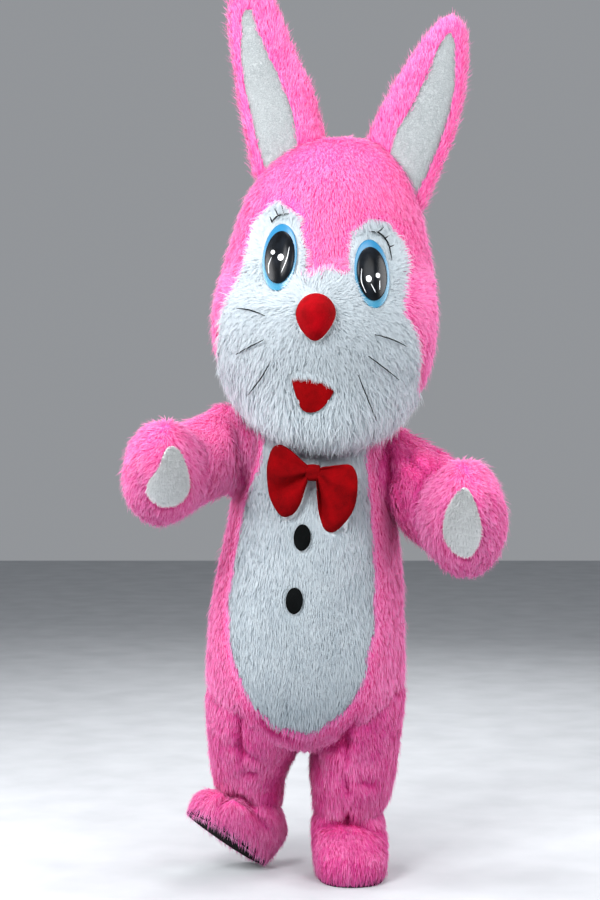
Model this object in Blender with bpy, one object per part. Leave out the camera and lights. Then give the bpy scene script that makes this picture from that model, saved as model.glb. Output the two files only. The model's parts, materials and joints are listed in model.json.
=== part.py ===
# Rabbit mascot costume, in the hollow form that it keeps on its wearer.
# Metres, +Z up. The rabbit faces -Y, so its own left is +X. Heights are taken above the floor, and the
# scene's origin is between the wearer's shoulders, which hold the suit up.

import math

import bpy
from mathutils import Vector
from mathutils.bvhtree import BVHTree

HELD_HEIGHT = 1.15
SEAM_GAP = 0.0003
LAID_GAP = 0.0018
NOSE_GAP = 0.0030
PALM_GAP = 0.006
PALM_RISE = 0.004
EAR_GAP = 0.0026
EAR_LIFT = 0.30
RAY_START = -1.0

SUIT_WALL = 0.010
HEAD_WALL = 0.016
EAR_WALL = 0.008
SOLE_THICK = 0.014

# Rings of a laid piece, as shares of its outline, and how much of its rise its edge keeps.
LAID_SHARES = (1.0, 0.82, 0.55, 0.25)
BUTTON_SHARES = (1.0, 0.80, 0.40)
NOSE_SHARES = (1.0, 0.92, 0.72, 0.40)
EDGE_RISE = 0.06

TORSO_COLUMNS = 24
HEAD_COLUMNS = 28
EAR_COLUMNS = 20
OVAL_COLUMNS = 24
BUTTON_COLUMNS = 16
BOW_COLUMNS = 12

# Halvings that place a point on a cut, and how near a point must be to move onto the cut.
CUT_STEPS = 14
SETTLE_SHARE = 0.32
# Sharp corners of a panel get no more than this much more seam gap.
CORNER_LIMIT = 0.35
# Sections after which a limb's points are evenly spread round it.
EVEN_SECTIONS = 3

PINK = (0.92, 0.20, 0.50)
WHITE = (0.80, 0.85, 0.87)
CREAM = (0.78, 0.77, 0.72)
RED = (0.60, 0.00, 0.02)
BLUE = (0.03, 0.42, 0.80)
BLACK = (0.01, 0.01, 0.012)
# Roughness of cloth, of rubber, of painted sheet and of a polished dome.
SOFT = 0.9
RUBBERY = 0.7
SATIN = 0.4
GLOSSY = 0.08


def table(columns, *rows):
    names = columns.split()
    return [dict(zip(names, row)) for row in rows]


# Rings of the torso, from the neck down: middle and half are along X, front and back along Y.
TORSO_RINGS = table(
    "height middle half front back",
    (1.205, 0.020, 0.112, -0.092, 0.105),
    (1.170, 0.020, 0.130, -0.100, 0.120),
    (1.130, 0.020, 0.166, -0.110, 0.140),
    (1.075, 0.020, 0.186, -0.122, 0.160),
    (1.010, 0.020, 0.193, -0.146, 0.175),
    (0.940, 0.018, 0.199, -0.172, 0.184),
    (0.860, 0.014, 0.211, -0.192, 0.190),
    (0.780, 0.010, 0.226, -0.207, 0.194),
    (0.700, 0.004, 0.237, -0.219, 0.198),
    (0.620, 0.000, 0.243, -0.227, 0.204),
    (0.545, -0.002, 0.247, -0.229, 0.210),
    (0.475, -0.002, 0.249, -0.222, 0.210),
    (0.420, 0.000, 0.247, -0.205, 0.200),
    (0.375, 0.000, 0.225, -0.178, 0.180),
    (0.340, -0.002, 0.172, -0.138, 0.140),
    (0.316, -0.004, 0.096, -0.085, 0.085),
)
TORSO_FOOT = {"x": -0.005, "y": 0.0, "height": 0.306}

# Edge of the white belly panel, seen from the front.
BELLY_EDGE = table(
    "x height",
    (-0.050, 1.240),
    (-0.095, 1.150),
    (-0.128, 1.010),
    (-0.150, 0.936),
    (-0.170, 0.850),
    (-0.188, 0.735),
    (-0.194, 0.630),
    (-0.184, 0.562),
    (-0.160, 0.495),
    (-0.118, 0.430),
    (-0.062, 0.394),
    (0.005, 0.382),
    (0.062, 0.410),
    (0.112, 0.448),
    (0.140, 0.515),
    (0.160, 0.610),
    (0.169, 0.690),
    (0.168, 0.800),
    (0.157, 0.920),
    (0.150, 1.060),
    (0.125, 1.150),
    (0.085, 1.240),
)

# Holes that the sleeves are set into, seen from the side, at least so far out from the middle.
ARMHOLE_OUT = 0.05
ARMHOLES = {
    "right": {"sign": -1, "y": 0.005, "height": 1.040, "deep": 0.095, "tall": 0.094},
    "left": {"sign": 1, "y": 0.005, "height": 0.992, "deep": 0.100, "tall": 0.110},
}
# Sections of each sleeve from the armhole to the cuff, then of its mitt.
SLEEVES = {
    "right": table(
        "x y height tall wide",
        (-0.212, -0.014, 1.052, 0.102, 0.096),
        (-0.241, -0.064, 1.043, 0.099, 0.094),
        (-0.272, -0.124, 1.028, 0.098, 0.090),
        (-0.305, -0.180, 1.014, 0.104, 0.088),
    ),
    "left": table(
        "x y height tall wide",
        (0.274, -0.012, 0.984, 0.108, 0.096),
        (0.296, -0.062, 0.958, 0.112, 0.096),
        (0.311, -0.120, 0.932, 0.111, 0.094),
        (0.342, -0.176, 0.911, 0.108, 0.090),
    ),
}
MITTS = {
    "right": table(
        "x y height tall wide",
        (-0.322, -0.210, 1.012, 0.118, 0.090),
        (-0.343, -0.252, 1.011, 0.130, 0.091),
        (-0.362, -0.292, 1.002, 0.122, 0.084),
        (-0.376, -0.325, 0.994, 0.100, 0.067),
        (-0.385, -0.347, 0.988, 0.062, 0.041),
    ),
    "left": table(
        "x y height tall wide",
        (0.358, -0.206, 0.908, 0.132, 0.092),
        (0.378, -0.248, 0.902, 0.145, 0.093),
        (0.396, -0.288, 0.892, 0.136, 0.086),
        (0.410, -0.322, 0.885, 0.112, 0.068),
        (0.419, -0.344, 0.880, 0.070, 0.042),
    ),
}
MITT_TIPS = {"right": (-0.388, -0.356, 0.985), "left": (0.422, -0.353, 0.878)}

# The legs leave the torso on a sloping plane, low at the crotch and high at the hip.
LEG_HOLES = {
    "right": {"sign": -1, "start": -0.016, "height": 0.306, "slope": 0.70},
    "left": {"sign": 1, "start": 0.006, "height": 0.304, "slope": 0.73},
}
LEGS = {
    "right": table(
        "x y height deep wide lean",
        (-0.141, 0.005, 0.342, 0.142, 0.128, -0.55),
        (-0.141, 0.010, 0.304, 0.122, 0.111, -0.30),
        (-0.144, 0.016, 0.262, 0.108, 0.100, -0.12),
        (-0.145, 0.024, 0.226, 0.094, 0.090, 0.00),
    ),
    "left": table(
        "x y height deep wide lean",
        (0.128, 0.000, 0.342, 0.142, 0.134, 0.55),
        (0.120, -0.006, 0.290, 0.124, 0.117, 0.30),
        (0.117, -0.016, 0.236, 0.112, 0.106, 0.12),
        (0.113, -0.018, 0.190, 0.096, 0.097, 0.00),
    ),
}

# Each shoe stands on the back edge of its heel, with its toe turned out by "turn" and raised by "lift".
SHOES = {
    "right": {"x": -0.116, "y": 0.050, "turn": -57.0, "lift": 37.0},
    "left": {"x": 0.098, "y": 0.062, "turn": 4.0, "lift": 0.0},
}
# Rings of a shoe from the ankle down. The upper ones take only a share of the lift.
SHOE_RINGS = table(
    "height toe heel half power taper lifted",
    (0.150, 0.072, 0.086, 0.088, 2.0, 0.00, 0.42),
    (0.122, 0.101, 0.092, 0.091, 2.1, 0.03, 0.70),
    (0.092, 0.142, 0.094, 0.093, 2.2, 0.06, 1.00),
    (0.062, 0.171, 0.093, 0.092, 2.3, 0.08, 1.00),
    (0.034, 0.176, 0.090, 0.088, 2.4, 0.08, 1.00),
    (0.0143, 0.168, 0.084, 0.080, 2.4, 0.08, 1.00),
)

# Rings of the head, from the crown down. The front of a ring can be lower than its back.
HEAD_TOP = {"x": 0.088, "y": 0.005, "height": 1.832}
HEAD_RINGS = table(
    "frontheight backheight middle half front back",
    (1.815, 1.817, 0.084, 0.090, -0.082, 0.088),
    (1.782, 1.784, 0.075, 0.142, -0.136, 0.142),
    (1.735, 1.736, 0.068, 0.184, -0.180, 0.188),
    (1.675, 1.676, 0.062, 0.213, -0.214, 0.224),
    (1.605, 1.606, 0.058, 0.233, -0.236, 0.250),
    (1.535, 1.536, 0.055, 0.251, -0.250, 0.266),
    (1.465, 1.468, 0.050, 0.267, -0.258, 0.274),
    (1.395, 1.402, 0.045, 0.278, -0.263, 0.274),
    (1.325, 1.340, 0.044, 0.277, -0.265, 0.262),
    (1.260, 1.285, 0.045, 0.265, -0.263, 0.240),
    (1.198, 1.245, 0.044, 0.248, -0.257, 0.212),
    (1.142, 1.215, 0.046, 0.218, -0.244, 0.184),
    (1.096, 1.195, 0.048, 0.172, -0.222, 0.150),
    (1.066, 1.170, 0.044, 0.112, -0.188, 0.105),
)
HEAD_FOOT = {"x": 0.035, "y": -0.030, "height": 1.110}
NECK_HOLE = {"x": 0.030, "y": -0.005, "wide": 0.168, "deep": 0.150, "below": 1.30}
# Soft swellings of the head's front: muzzle, chin and the two cheeks. They fade out towards its sides.
SWELL_FADE = 0.7
HEAD_SWELLS = table(
    "x height radius out",
    (0.022, 1.375, 0.105, 0.040),
    (0.020, 1.190, 0.110, 0.014),
    (-0.120, 1.270, 0.110, 0.016),
    (0.185, 1.250, 0.110, 0.016),
)
# Edge of the white face panel, seen from the front: right eye patch, cheeks and chin, left eye patch.
FACE_EDGE = table(
    "x height",
    (-0.070, 1.668),
    (-0.112, 1.632),
    (-0.138, 1.562),
    (-0.144, 1.484),
    (-0.168, 1.452),
    (-0.195, 1.405),
    (-0.214, 1.347),
    (-0.214, 1.290),
    (-0.240, 1.220),
    (-0.270, 1.140),
    (-0.240, 0.980),
    (0.040, 0.960),
    (0.320, 0.980),
    (0.310, 1.080),
    (0.276, 1.150),
    (0.270, 1.217),
    (0.274, 1.290),
    (0.262, 1.352),
    (0.226, 1.380),
    (0.230, 1.441),
    (0.237, 1.516),
    (0.226, 1.576),
    (0.188, 1.626),
    (0.140, 1.612),
    (0.108, 1.560),
    (0.096, 1.462),
    (0.058, 1.482),
    (0.020, 1.478),
    (-0.014, 1.444),
    (-0.012, 1.535),
    (-0.014, 1.590),
    (-0.032, 1.642),
)

# Each ear from its root up: sections across its own line, then the edge of its lining from the front.
EARS = {
    "right": table(
        "x y height wide deep",
        (-0.055, 0.000, 1.840, 0.093, 0.044),
        (-0.066, 0.000, 1.890, 0.092, 0.040),
        (-0.080, 0.000, 1.940, 0.091, 0.038),
        (-0.097, 0.000, 1.990, 0.080, 0.036),
        (-0.111, 0.000, 2.040, 0.071, 0.034),
        (-0.123, 0.000, 2.092, 0.067, 0.031),
        (-0.134, 0.000, 2.140, 0.060, 0.028),
        (-0.142, 0.000, 2.180, 0.048, 0.024),
        (-0.147, 0.000, 2.204, 0.026, 0.016),
    ),
    "left": table(
        "x y height wide deep",
        (0.259, 0.000, 1.828, 0.096, 0.044),
        (0.276, 0.000, 1.868, 0.094, 0.040),
        (0.296, 0.000, 1.918, 0.089, 0.038),
        (0.315, 0.000, 1.966, 0.080, 0.036),
        (0.332, 0.000, 2.014, 0.067, 0.034),
        (0.346, 0.000, 2.056, 0.055, 0.030),
        (0.358, 0.000, 2.094, 0.041, 0.025),
        (0.365, 0.000, 2.118, 0.022, 0.016),
    ),
}
EAR_TIPS = {"right": (-0.149, 0.0, 2.212), "left": (0.368, 0.0, 2.126)}
LININGS = {
    "right": table(
        "x height",
        (-0.146, 2.160),
        (-0.162, 2.120),
        (-0.164, 2.000),
        (-0.148, 1.922),
        (-0.130, 1.840),
        (-0.100, 1.740),
        (-0.030, 1.740),
        (-0.024, 1.835),
        (-0.036, 1.912),
        (-0.076, 1.990),
        (-0.116, 2.090),
        (-0.128, 2.135),
    ),
    "left": table(
        "x height",
        (0.353, 2.090),
        (0.371, 2.055),
        (0.369, 1.950),
        (0.346, 1.855),
        (0.306, 1.750),
        (0.262, 1.670),
        (0.212, 1.700),
        (0.204, 1.790),
        (0.226, 1.850),
        (0.279, 1.945),
        (0.322, 2.045),
    ),
}

# Oval pieces laid on the face: centre and half sizes, turned from upright by "turn" degrees.
EYES = {
    "right": {"x": -0.065, "height": 1.521, "wide": 0.042, "tall": 0.083, "turn": 6.0},
    "left": {"x": 0.155, "height": 1.481, "wide": 0.043, "tall": 0.084, "turn": -6.0},
}
IRIS_SHARE = (0.86, 0.78)
EYE_RING_THICK = 0.004
EYE_DOME_RISE = 0.012
NOSE_EDGE = table(
    "x height",
    (0.021, 1.434),
    (-0.010, 1.422),
    (-0.028, 1.388),
    (-0.016, 1.348),
    (0.019, 1.316),
    (0.054, 1.348),
    (0.070, 1.388),
    (0.052, 1.422),
)
NOSE_RISE = 0.038
MOUTH_RISE = 0.003
MOUTH_EDGE = table(
    "x height",
    (-0.034, 1.238),
    (0.018, 1.234),
    (0.064, 1.212),
    (0.052, 1.180),
    (0.026, 1.154),
    (-0.008, 1.154),
    (-0.026, 1.190),
)
PALM_PATCHES = {
    "right": table(
        "x height",
        (-0.326, 1.082),
        (-0.298, 1.074),
        (-0.282, 1.040),
        (-0.268, 0.980),
        (-0.288, 0.940),
        (-0.330, 0.926),
        (-0.368, 0.950),
        (-0.372, 0.992),
        (-0.342, 1.020),
    ),
    "left": table(
        "x height",
        (0.362, 0.988),
        (0.380, 0.972),
        (0.404, 0.905),
        (0.404, 0.855),
        (0.384, 0.812),
        (0.352, 0.814),
        (0.318, 0.850),
        (0.314, 0.895),
        (0.332, 0.950),
    ),
}
BUTTONS = table(
    "name x height",
    ("button_upper", -0.011, 0.850),
    ("button_lower", -0.030, 0.700),
)
BUTTON_SIZE = {"wide": 0.0215, "tall": 0.033, "turn": 4.0, "rise": 0.006}

# The bow lies across the chest on a sloping line from its knot.
BOW_KNOT = {"x": 0.014, "y": -0.176, "height": 1.005}
BOW_LOOPS = {
    "right": table(
        "out down deep tall",
        (0.020, 0.000, 0.014, 0.022),
        (0.042, 0.010, 0.022, 0.052),
        (0.072, 0.018, 0.024, 0.082),
        (0.094, 0.018, 0.020, 0.084),
        (0.106, 0.016, 0.010, 0.062),
    ),
    "left": table(
        "out down deep tall",
        (0.020, 0.008, 0.014, 0.022),
        (0.042, 0.020, 0.022, 0.044),
        (0.070, 0.042, 0.026, 0.068),
        (0.092, 0.056, 0.022, 0.078),
        (0.104, 0.060, 0.010, 0.064),
    ),
}
# How far a loop comes forward for each metre out from the knot.
BOW_FORWARD = 0.16
KNOT_SIZE = {"wide": 0.018, "deep": 0.020, "tall": 0.026}
# Heights of the knot's rings as shares of its half height, its roundness and the size of its ends.
KNOT_SHARES = (1.0, 0.75, 0.0, -0.75, -1.0)
KNOT_ROUND = 0.8
KNOT_END = 0.15


def spot(x, y, height):
    return Vector((x, y, height - HELD_HEIGHT))


def clear_scene():
    for found in list(bpy.data.objects):
        bpy.data.objects.remove(found, do_unlink=True)


def material(name, colour, roughness):
    made = bpy.data.materials.new(name)
    made.use_nodes = True
    shader = made.node_tree.nodes["Principled BSDF"]
    shader.inputs["Base Color"].default_value = (*colour, 1.0)
    shader.inputs["Roughness"].default_value = roughness
    shader.inputs["Metallic"].default_value = 0.0
    return made


def add_piece(name, points, faces, colour, roughness=SOFT):
    mesh = bpy.data.meshes.new(name)
    mesh.from_pydata([tuple(point) for point in points], [], faces)
    made = bpy.data.objects.new(name, mesh)
    mesh.materials.append(material(name, colour, roughness))
    bpy.context.scene.collection.objects.link(made)
    return made


class Cloth:
    # One skin without thickness: triangles facing out, each marked with the piece that it is cut from.
    def __init__(self):
        self.points = []
        self.faces = []
        self.pieces = []
        self.fixed = set()

    def add_ring(self, points):
        start = len(self.points)
        self.points.extend(points)
        return list(range(start, len(self.points)))

    def add_face(self, corners, piece):
        self.faces.append(corners)
        self.pieces.append(piece)

    def add_band(self, first, second, pieces):
        count = len(first)
        for column in range(count):
            after = (column + 1) % count
            self.add_face((first[column], second[column], second[after]), pieces[column])
            self.add_face((first[column], second[after], first[after]), pieces[column])

    def close_end(self, ring, tip, pieces):
        middle = self.add_ring([tip])[0]
        for column in range(len(ring)):
            after = (column + 1) % len(ring)
            self.add_face((ring[column], middle, ring[after]), pieces[column])

    def close_start(self, tip, ring, pieces):
        middle = self.add_ring([tip])[0]
        for column in range(len(ring)):
            after = (column + 1) % len(ring)
            self.add_face((middle, ring[column], ring[after]), pieces[column])

    def faces_of(self, pieces):
        return [face for face, piece in zip(self.faces, self.pieces) if piece in pieces]

    def tree(self):
        return BVHTree.FromPolygons(self.points, self.faces)


def face_edges(face):
    return ((face[0], face[1]), (face[1], face[2]), (face[2], face[0]))


def line_crossing(field, low, high):
    # The point between low and high where the field is nought.
    low_side = field(low) < 0
    for _ in range(CUT_STEPS):
        middle = (low + high) / 2
        if (field(middle) < 0) == low_side:
            low = middle
        else:
            high = middle
    return (low + high) / 2


def settle_on_line(cloth, faces, levels, field):
    # Points that are close to the cut move onto it, so that the cut leaves no sliver.
    nearest = {}
    for face in faces:
        for first, second in face_edges(face):
            if levels[first] * levels[second] >= 0:
                continue
            share = levels[first] / (levels[first] - levels[second])
            for point, part in ((first, share), (second, 1 - share)):
                if part < SETTLE_SHARE and point not in cloth.fixed:
                    if part < nearest.get(point, (1, None))[0]:
                        nearest[point] = (part, (first, second))
    moved = {}
    for point, (_, ends) in nearest.items():
        moved[point] = line_crossing(field, cloth.points[ends[0]], cloth.points[ends[1]])
    for point, place in moved.items():
        cloth.points[point] = place
        levels[point] = 0.0
        cloth.fixed.add(point)


def cut(cloth, pieces, field, inside):
    # Cuts the named pieces where the field is nought. What lies below nought takes the new name.
    levels = {}
    chosen = cloth.faces_of(pieces)
    for face in chosen:
        for point in face:
            levels[point] = field(cloth.points[point])
    settle_on_line(cloth, chosen, levels, field)
    crossings = {}

    def crossing(first, second):
        key = (min(first, second), max(first, second))
        if key not in crossings:
            place = line_crossing(field, cloth.points[key[0]], cloth.points[key[1]])
            crossings[key] = cloth.add_ring([place])[0]
            cloth.fixed.add(crossings[key])
        return crossings[key]

    old = list(zip(cloth.faces, cloth.pieces))
    cloth.faces = []
    cloth.pieces = []
    for face, piece in old:
        if piece not in pieces:
            cloth.add_face(face, piece)
            continue
        sides = {True: [], False: []}
        for first, second in face_edges(face):
            for side in (True, False):
                if levels[first] == 0 or (levels[first] < 0) == side:
                    sides[side].append(first)
            if levels[first] * levels[second] < 0:
                middle = crossing(first, second)
                sides[True].append(middle)
                sides[False].append(middle)
        flat = all(levels[point] == 0 for point in face)
        centre = sum((cloth.points[point] for point in face), Vector()) / 3
        for side, corners in sides.items():
            if flat and side != (field(centre) < 0):
                continue
            if not flat and all(levels.get(point, 0) == 0 for point in corners):
                continue
            for step in range(1, len(corners) - 1):
                fan = (corners[0], corners[step], corners[step + 1])
                cloth.add_face(fan, inside if side else piece)


def take_out(cloth, piece):
    # Takes a piece away and gives the loop of points round the hole that it leaves.
    edges = {}
    for face, name in zip(cloth.faces, cloth.pieces):
        if name != piece:
            for first, second in face_edges(face):
                edges[(first, second)] = True
    after = {}
    for face in cloth.faces_of([piece]):
        for first, second in face_edges(face):
            if (second, first) in edges:
                after[second] = first
    kept = [pair for pair in zip(cloth.faces, cloth.pieces) if pair[1] != piece]
    cloth.faces = [face for face, _ in kept]
    cloth.pieces = [name for _, name in kept]
    start = min(after)
    loop = [start]
    while after[loop[-1]] != start:
        loop.append(after[loop[-1]])
    return loop


def skin_normals(cloth):
    sums = [Vector() for _ in cloth.points]
    for a, b, c in cloth.faces:
        across = (cloth.points[b] - cloth.points[a]).cross(cloth.points[c] - cloth.points[a])
        for point in (a, b, c):
            sums[point] += across
    return [found.normalized() for found in sums]


def seam_steps(cloth, faces, normals):
    # Half a seam gap, from each edge point of a piece towards its inside.
    used = set()
    for face in faces:
        used.update(face_edges(face))
    inward = {}
    for first, second in used:
        if (second, first) in used:
            continue
        along = cloth.points[second] - cloth.points[first]
        for point in (first, second):
            inward.setdefault(point, []).append(normals[point].cross(along).normalized())
    steps = {}
    for point, found in inward.items():
        total = sum(found, Vector())
        reach = max(total.length_squared / len(found), CORNER_LIMIT)
        steps[point] = total * (SEAM_GAP / 2 / reach)
    rim = [edge for edge in used if (edge[1], edge[0]) not in used]
    return steps, sorted(rim)


def wall(cloth, piece, thick, normals, colour, settle=None):
    # A closed wall of cloth: the skin's faces outside, the same faces moved in, and the cut edges between.
    faces = cloth.faces_of([piece])
    steps, rim = seam_steps(cloth, faces, normals)
    used = sorted({point for face in faces for point in face})
    order = {point: place for place, point in enumerate(used)}
    outside = []
    inner = []
    for point in order:
        step = steps.get(point, Vector())
        outer_place = cloth.points[point] + step
        inner_place = outer_place - normals[point] * thick
        if settle:
            outer_place = settle(point, outer_place)
            inner_place = settle(point, inner_place)
        outside.append(outer_place)
        inner.append(inner_place)
    count = len(order)
    made = []
    for a, b, c in faces:
        made.append((order[a], order[b], order[c]))
        made.append((order[a] + count, order[c] + count, order[b] + count))
    for first, second in rim:
        near, far = order[first], order[second]
        if near < far:
            made.append((far, near, far + count))
            made.append((near, near + count, far + count))
        else:
            made.append((far, near, near + count))
            made.append((far, near + count, far + count))
    return add_piece(piece, outside + inner, made, colour)


def centre_of(cloth, loop):
    return sum((cloth.points[point] for point in loop), Vector()) / len(loop)


def oval(centre, along, front, tall, wide, angles, power=2.0, taper=0.0):
    # A ring across "along": tall is its half size towards "front", wide the half size to its side.
    # A taper makes it wider towards "front".
    along = along.normalized()
    tall_axis = (front - along * along.dot(front)).normalized()
    wide_axis = along.cross(tall_axis)
    ring = []
    for angle in angles:
        cosine = math.cos(angle)
        sine = math.sin(angle)
        over = math.copysign(abs(cosine) ** (2 / power), cosine) * wide * (1 + taper * sine)
        up = math.copysign(abs(sine) ** (2 / power), sine) * tall
        ring.append(centre + wide_axis * over + tall_axis * up)
    return ring


def loop_angles(points, centre, along, front):
    # The angle of each point of a loop about its own centre, without jumps.
    along = along.normalized()
    tall_axis = (front - along * along.dot(front)).normalized()
    wide_axis = along.cross(tall_axis)
    found = []
    for point in points:
        away = point - centre
        angle = math.atan2(away.dot(tall_axis), away.dot(wide_axis))
        while found and angle - found[-1] > math.pi:
            angle -= 2 * math.pi
        while found and angle - found[-1] < -math.pi:
            angle += 2 * math.pi
        found.append(angle)
    return found


def evened(angles, share):
    # Moves the angles by a share of the way to equal steps.
    turn = math.copysign(2 * math.pi, angles[-1] - angles[0])
    count = len(angles)
    even = [turn * place / count for place in range(count)]
    offset = sum(angle - step for angle, step in zip(angles, even)) / count
    return [angle + (step + offset - angle) * share for angle, step in zip(angles, even)]


def smooth_edge(rows, steps=6):
    # A round closed line through the rows of a table of (x, height).
    corners = [Vector((row["x"], row["height"] - HELD_HEIGHT)) for row in rows]
    count = len(corners)
    line = []
    for place in range(count):
        a, b, c, d = (corners[(place + shift) % count] for shift in (-1, 0, 1, 2))
        for step in range(steps):
            t = step / steps
            line.append(
                b
                + (c - a) * (t / 2)
                + (a * 2 - b * 5 + c * 4 - d) * (t * t / 2)
                + (b * 3 - a - c * 3 + d) * (t * t * t / 2)
            )
    return line


def front_field(rows, behind=1.0):
    # Distance to a line drawn on the front: below nought inside it, above nought outside and behind.
    line = smooth_edge(rows)
    pairs = list(zip(line, line[1:] + line[:1]))

    def field(point):
        place = Vector((point.x, point.z))
        nearest = 1.0
        inside = False
        for first, second in pairs:
            edge = second - first
            share = max(0.0, min(1.0, (place - first).dot(edge) / max(edge.length_squared, 1e-12)))
            nearest = min(nearest, (place - first - edge * share).length)
            if (first.y > place.y) != (second.y > place.y):
                reach = (second.x - first.x) * (place.y - first.y) / (second.y - first.y) + first.x
                if place.x < reach:
                    inside = not inside
        if point.y > behind:
            return max(nearest, point.y)
        return -nearest if inside else nearest

    return field


def torso_ring(row):
    ring = []
    for column in range(TORSO_COLUMNS):
        angle = 2 * math.pi * column / TORSO_COLUMNS
        reach = row["back"] if math.sin(angle) > 0 else -row["front"]
        x = row["middle"] + row["half"] * math.cos(angle)
        ring.append(spot(x, reach * math.sin(angle), row["height"]))
    return ring


def build_torso(cloth):
    quarter = TORSO_COLUMNS // 4
    columns = (
        ["suit_back_left"] * quarter
        + ["suit_back_right"] * quarter
        + ["suit_front"] * (2 * quarter)
    )
    rings = [cloth.add_ring(torso_ring(row)) for row in TORSO_RINGS]
    for upper, lower in zip(rings, rings[1:]):
        cloth.add_band(upper, lower, columns)
    cloth.close_end(rings[-1], spot(**TORSO_FOOT), columns)
    cut(cloth, ["suit_front"], front_field(BELLY_EDGE), "suit_belly")


def armhole_field(hole):
    def field(point):
        if point.x * hole["sign"] < ARMHOLE_OUT:
            return 1.0
        over = (point.y - hole["y"]) / hole["deep"]
        up = (point.z + HELD_HEIGHT - hole["height"]) / hole["tall"]
        return (math.hypot(over, up) - 1) * hole["deep"]

    return field


def leg_field(hole):
    def field(point):
        out = (point.x - hole["start"]) * hole["sign"]
        plane = hole["height"] + hole["slope"] * out
        return max(point.z + HELD_HEIGHT - plane, -out)

    return field


def outward_path(rows, start=None):
    # The direction of a limb at each of its sections.
    centres = [spot(row["x"], row["y"], row["height"]) for row in rows]
    ways = []
    for place in range(len(centres)):
        before = centres[place - 1] if place else start or centres[0]
        after = centres[min(place + 1, len(centres) - 1)]
        ways.append((after - before).normalized())
    return list(zip(rows, centres, ways))


def build_arm(cloth, side):
    hole = ARMHOLES[side]
    names = ["suit_front", "suit_belly", "suit_back_left", "suit_back_right"]
    cut(cloth, names, armhole_field(hole), "hole")
    loop = take_out(cloth, "hole")
    upright = Vector((0, 0, 1))
    outward = Vector((hole["sign"], 0, 0))
    centre = centre_of(cloth, loop)
    sections = outward_path(SLEEVES[side] + MITTS[side], centre)
    angles = loop_angles([cloth.points[point] for point in loop], centre, outward, upright)
    ring = loop
    sleeve_count = len(SLEEVES[side])
    for place, (row, middle, along) in enumerate(sections):
        turned = evened(angles, min(1.0, (place + 1) / EVEN_SECTIONS))
        points = oval(middle, along, upright, row["tall"], row["wide"], turned)
        after = cloth.add_ring(points)
        if place < sleeve_count:
            pieces = ["sleeve_" + side] * len(loop)
        else:
            pieces = mitt_pieces(side, turned)
        cloth.add_band(ring, after, pieces)
        ring = after
    cloth.close_end(ring, spot(*MITT_TIPS[side]), mitt_pieces(side, turned))


def mitt_pieces(side, angles):
    # The palm side is the half of the mitt towards the body's front.
    palm_cosine = 1 if side == "right" else -1
    step = angles[1] - angles[0]
    pieces = []
    for angle in angles:
        palm = math.cos(angle + step / 2) * palm_cosine < 0
        pieces.append(("mitt_palm_" if palm else "mitt_back_") + side)
    return pieces


def shoe_ring(side, row, angles):
    # The shoe turns and tips about the back edge of its heel.
    shoe = SHOES[side]
    turn = math.radians(shoe["turn"])
    lift = math.radians(shoe["lift"]) * row["lifted"]
    level = Vector((math.sin(turn), -math.cos(turn), 0))
    upright = Vector((0, 0, 1))
    toe = level * math.cos(lift) + upright * math.sin(lift)
    up = upright * math.cos(lift) - level * math.sin(lift)
    rear = SHOE_RINGS[-1]["heel"]
    reach = rear + (row["toe"] - row["heel"]) / 2
    centre = spot(shoe["x"], shoe["y"], 0.0) + toe * reach + up * row["height"]
    half = (row["toe"] + row["heel"]) / 2
    turned = [angle - turn for angle in angles]
    return oval(centre, -up, toe, half, row["half"], turned, row["power"], row["taper"])


def build_leg(cloth, side):
    hole = LEG_HOLES[side]
    names = ["suit_front", "suit_back_left", "suit_back_right"]
    cut(cloth, names, leg_field(hole), "hole")
    loop = take_out(cloth, "hole")
    down = Vector((0, 0, -1))
    front = Vector((0, -1, 0))
    centre = centre_of(cloth, loop)
    angles = loop_angles([cloth.points[point] for point in loop], centre, down, front)
    ring = loop
    for place, row in enumerate(LEGS[side]):
        turned = evened(angles, min(1.0, (place + 1) / EVEN_SECTIONS))
        middle = spot(row["x"], row["y"], row["height"])
        along = Vector((row["lean"], 0, -1))
        after = cloth.add_ring(oval(middle, along, front, row["deep"], row["wide"], turned))
        cloth.add_band(ring, after, ["leg_" + side] * len(loop))
        ring = after
    for place, row in enumerate(SHOE_RINGS):
        after = cloth.add_ring(shoe_ring(side, row, turned))
        name = "leg_" if place == 0 else "shoe_upper_"
        cloth.add_band(ring, after, [name + side] * len(loop))
        ring = after
    return turned


def build_sole(side, angles):
    # A flat slab under the shoe, as wide as the shoe's last ring.
    last = SHOE_RINGS[-1]
    top = dict(last, height=SOLE_THICK)
    bottom = dict(last, height=0.0)
    slab = Cloth()
    upper = slab.add_ring(shoe_ring(side, top, angles))
    lower = slab.add_ring(shoe_ring(side, bottom, angles))
    names = ["sole"] * len(angles)
    slab.add_band(upper, lower, names)
    slab.close_start(centre_of(slab, upper), upper, names)
    slab.close_end(lower, centre_of(slab, lower), names)
    add_piece("sole_" + side, slab.points, slab.faces, BLACK, RUBBERY)


def build_suit():
    cloth = Cloth()
    build_torso(cloth)
    for side in ("right", "left"):
        build_arm(cloth, side)
    angles = {side: build_leg(cloth, side) for side in ("right", "left")}
    normals = skin_normals(cloth)
    for piece in sorted(set(cloth.pieces)):
        colour = WHITE if piece == "suit_belly" else PINK
        wall(cloth, piece, SUIT_WALL, normals, colour)
    for side in ("right", "left"):
        build_sole(side, angles[side])
    return cloth


def swelling(x, height):
    total = 0.0
    for row in HEAD_SWELLS:
        away = math.hypot(x - row["x"], height - row["height"]) / row["radius"]
        total += row["out"] * math.exp(-away * away)
    return total


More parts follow.
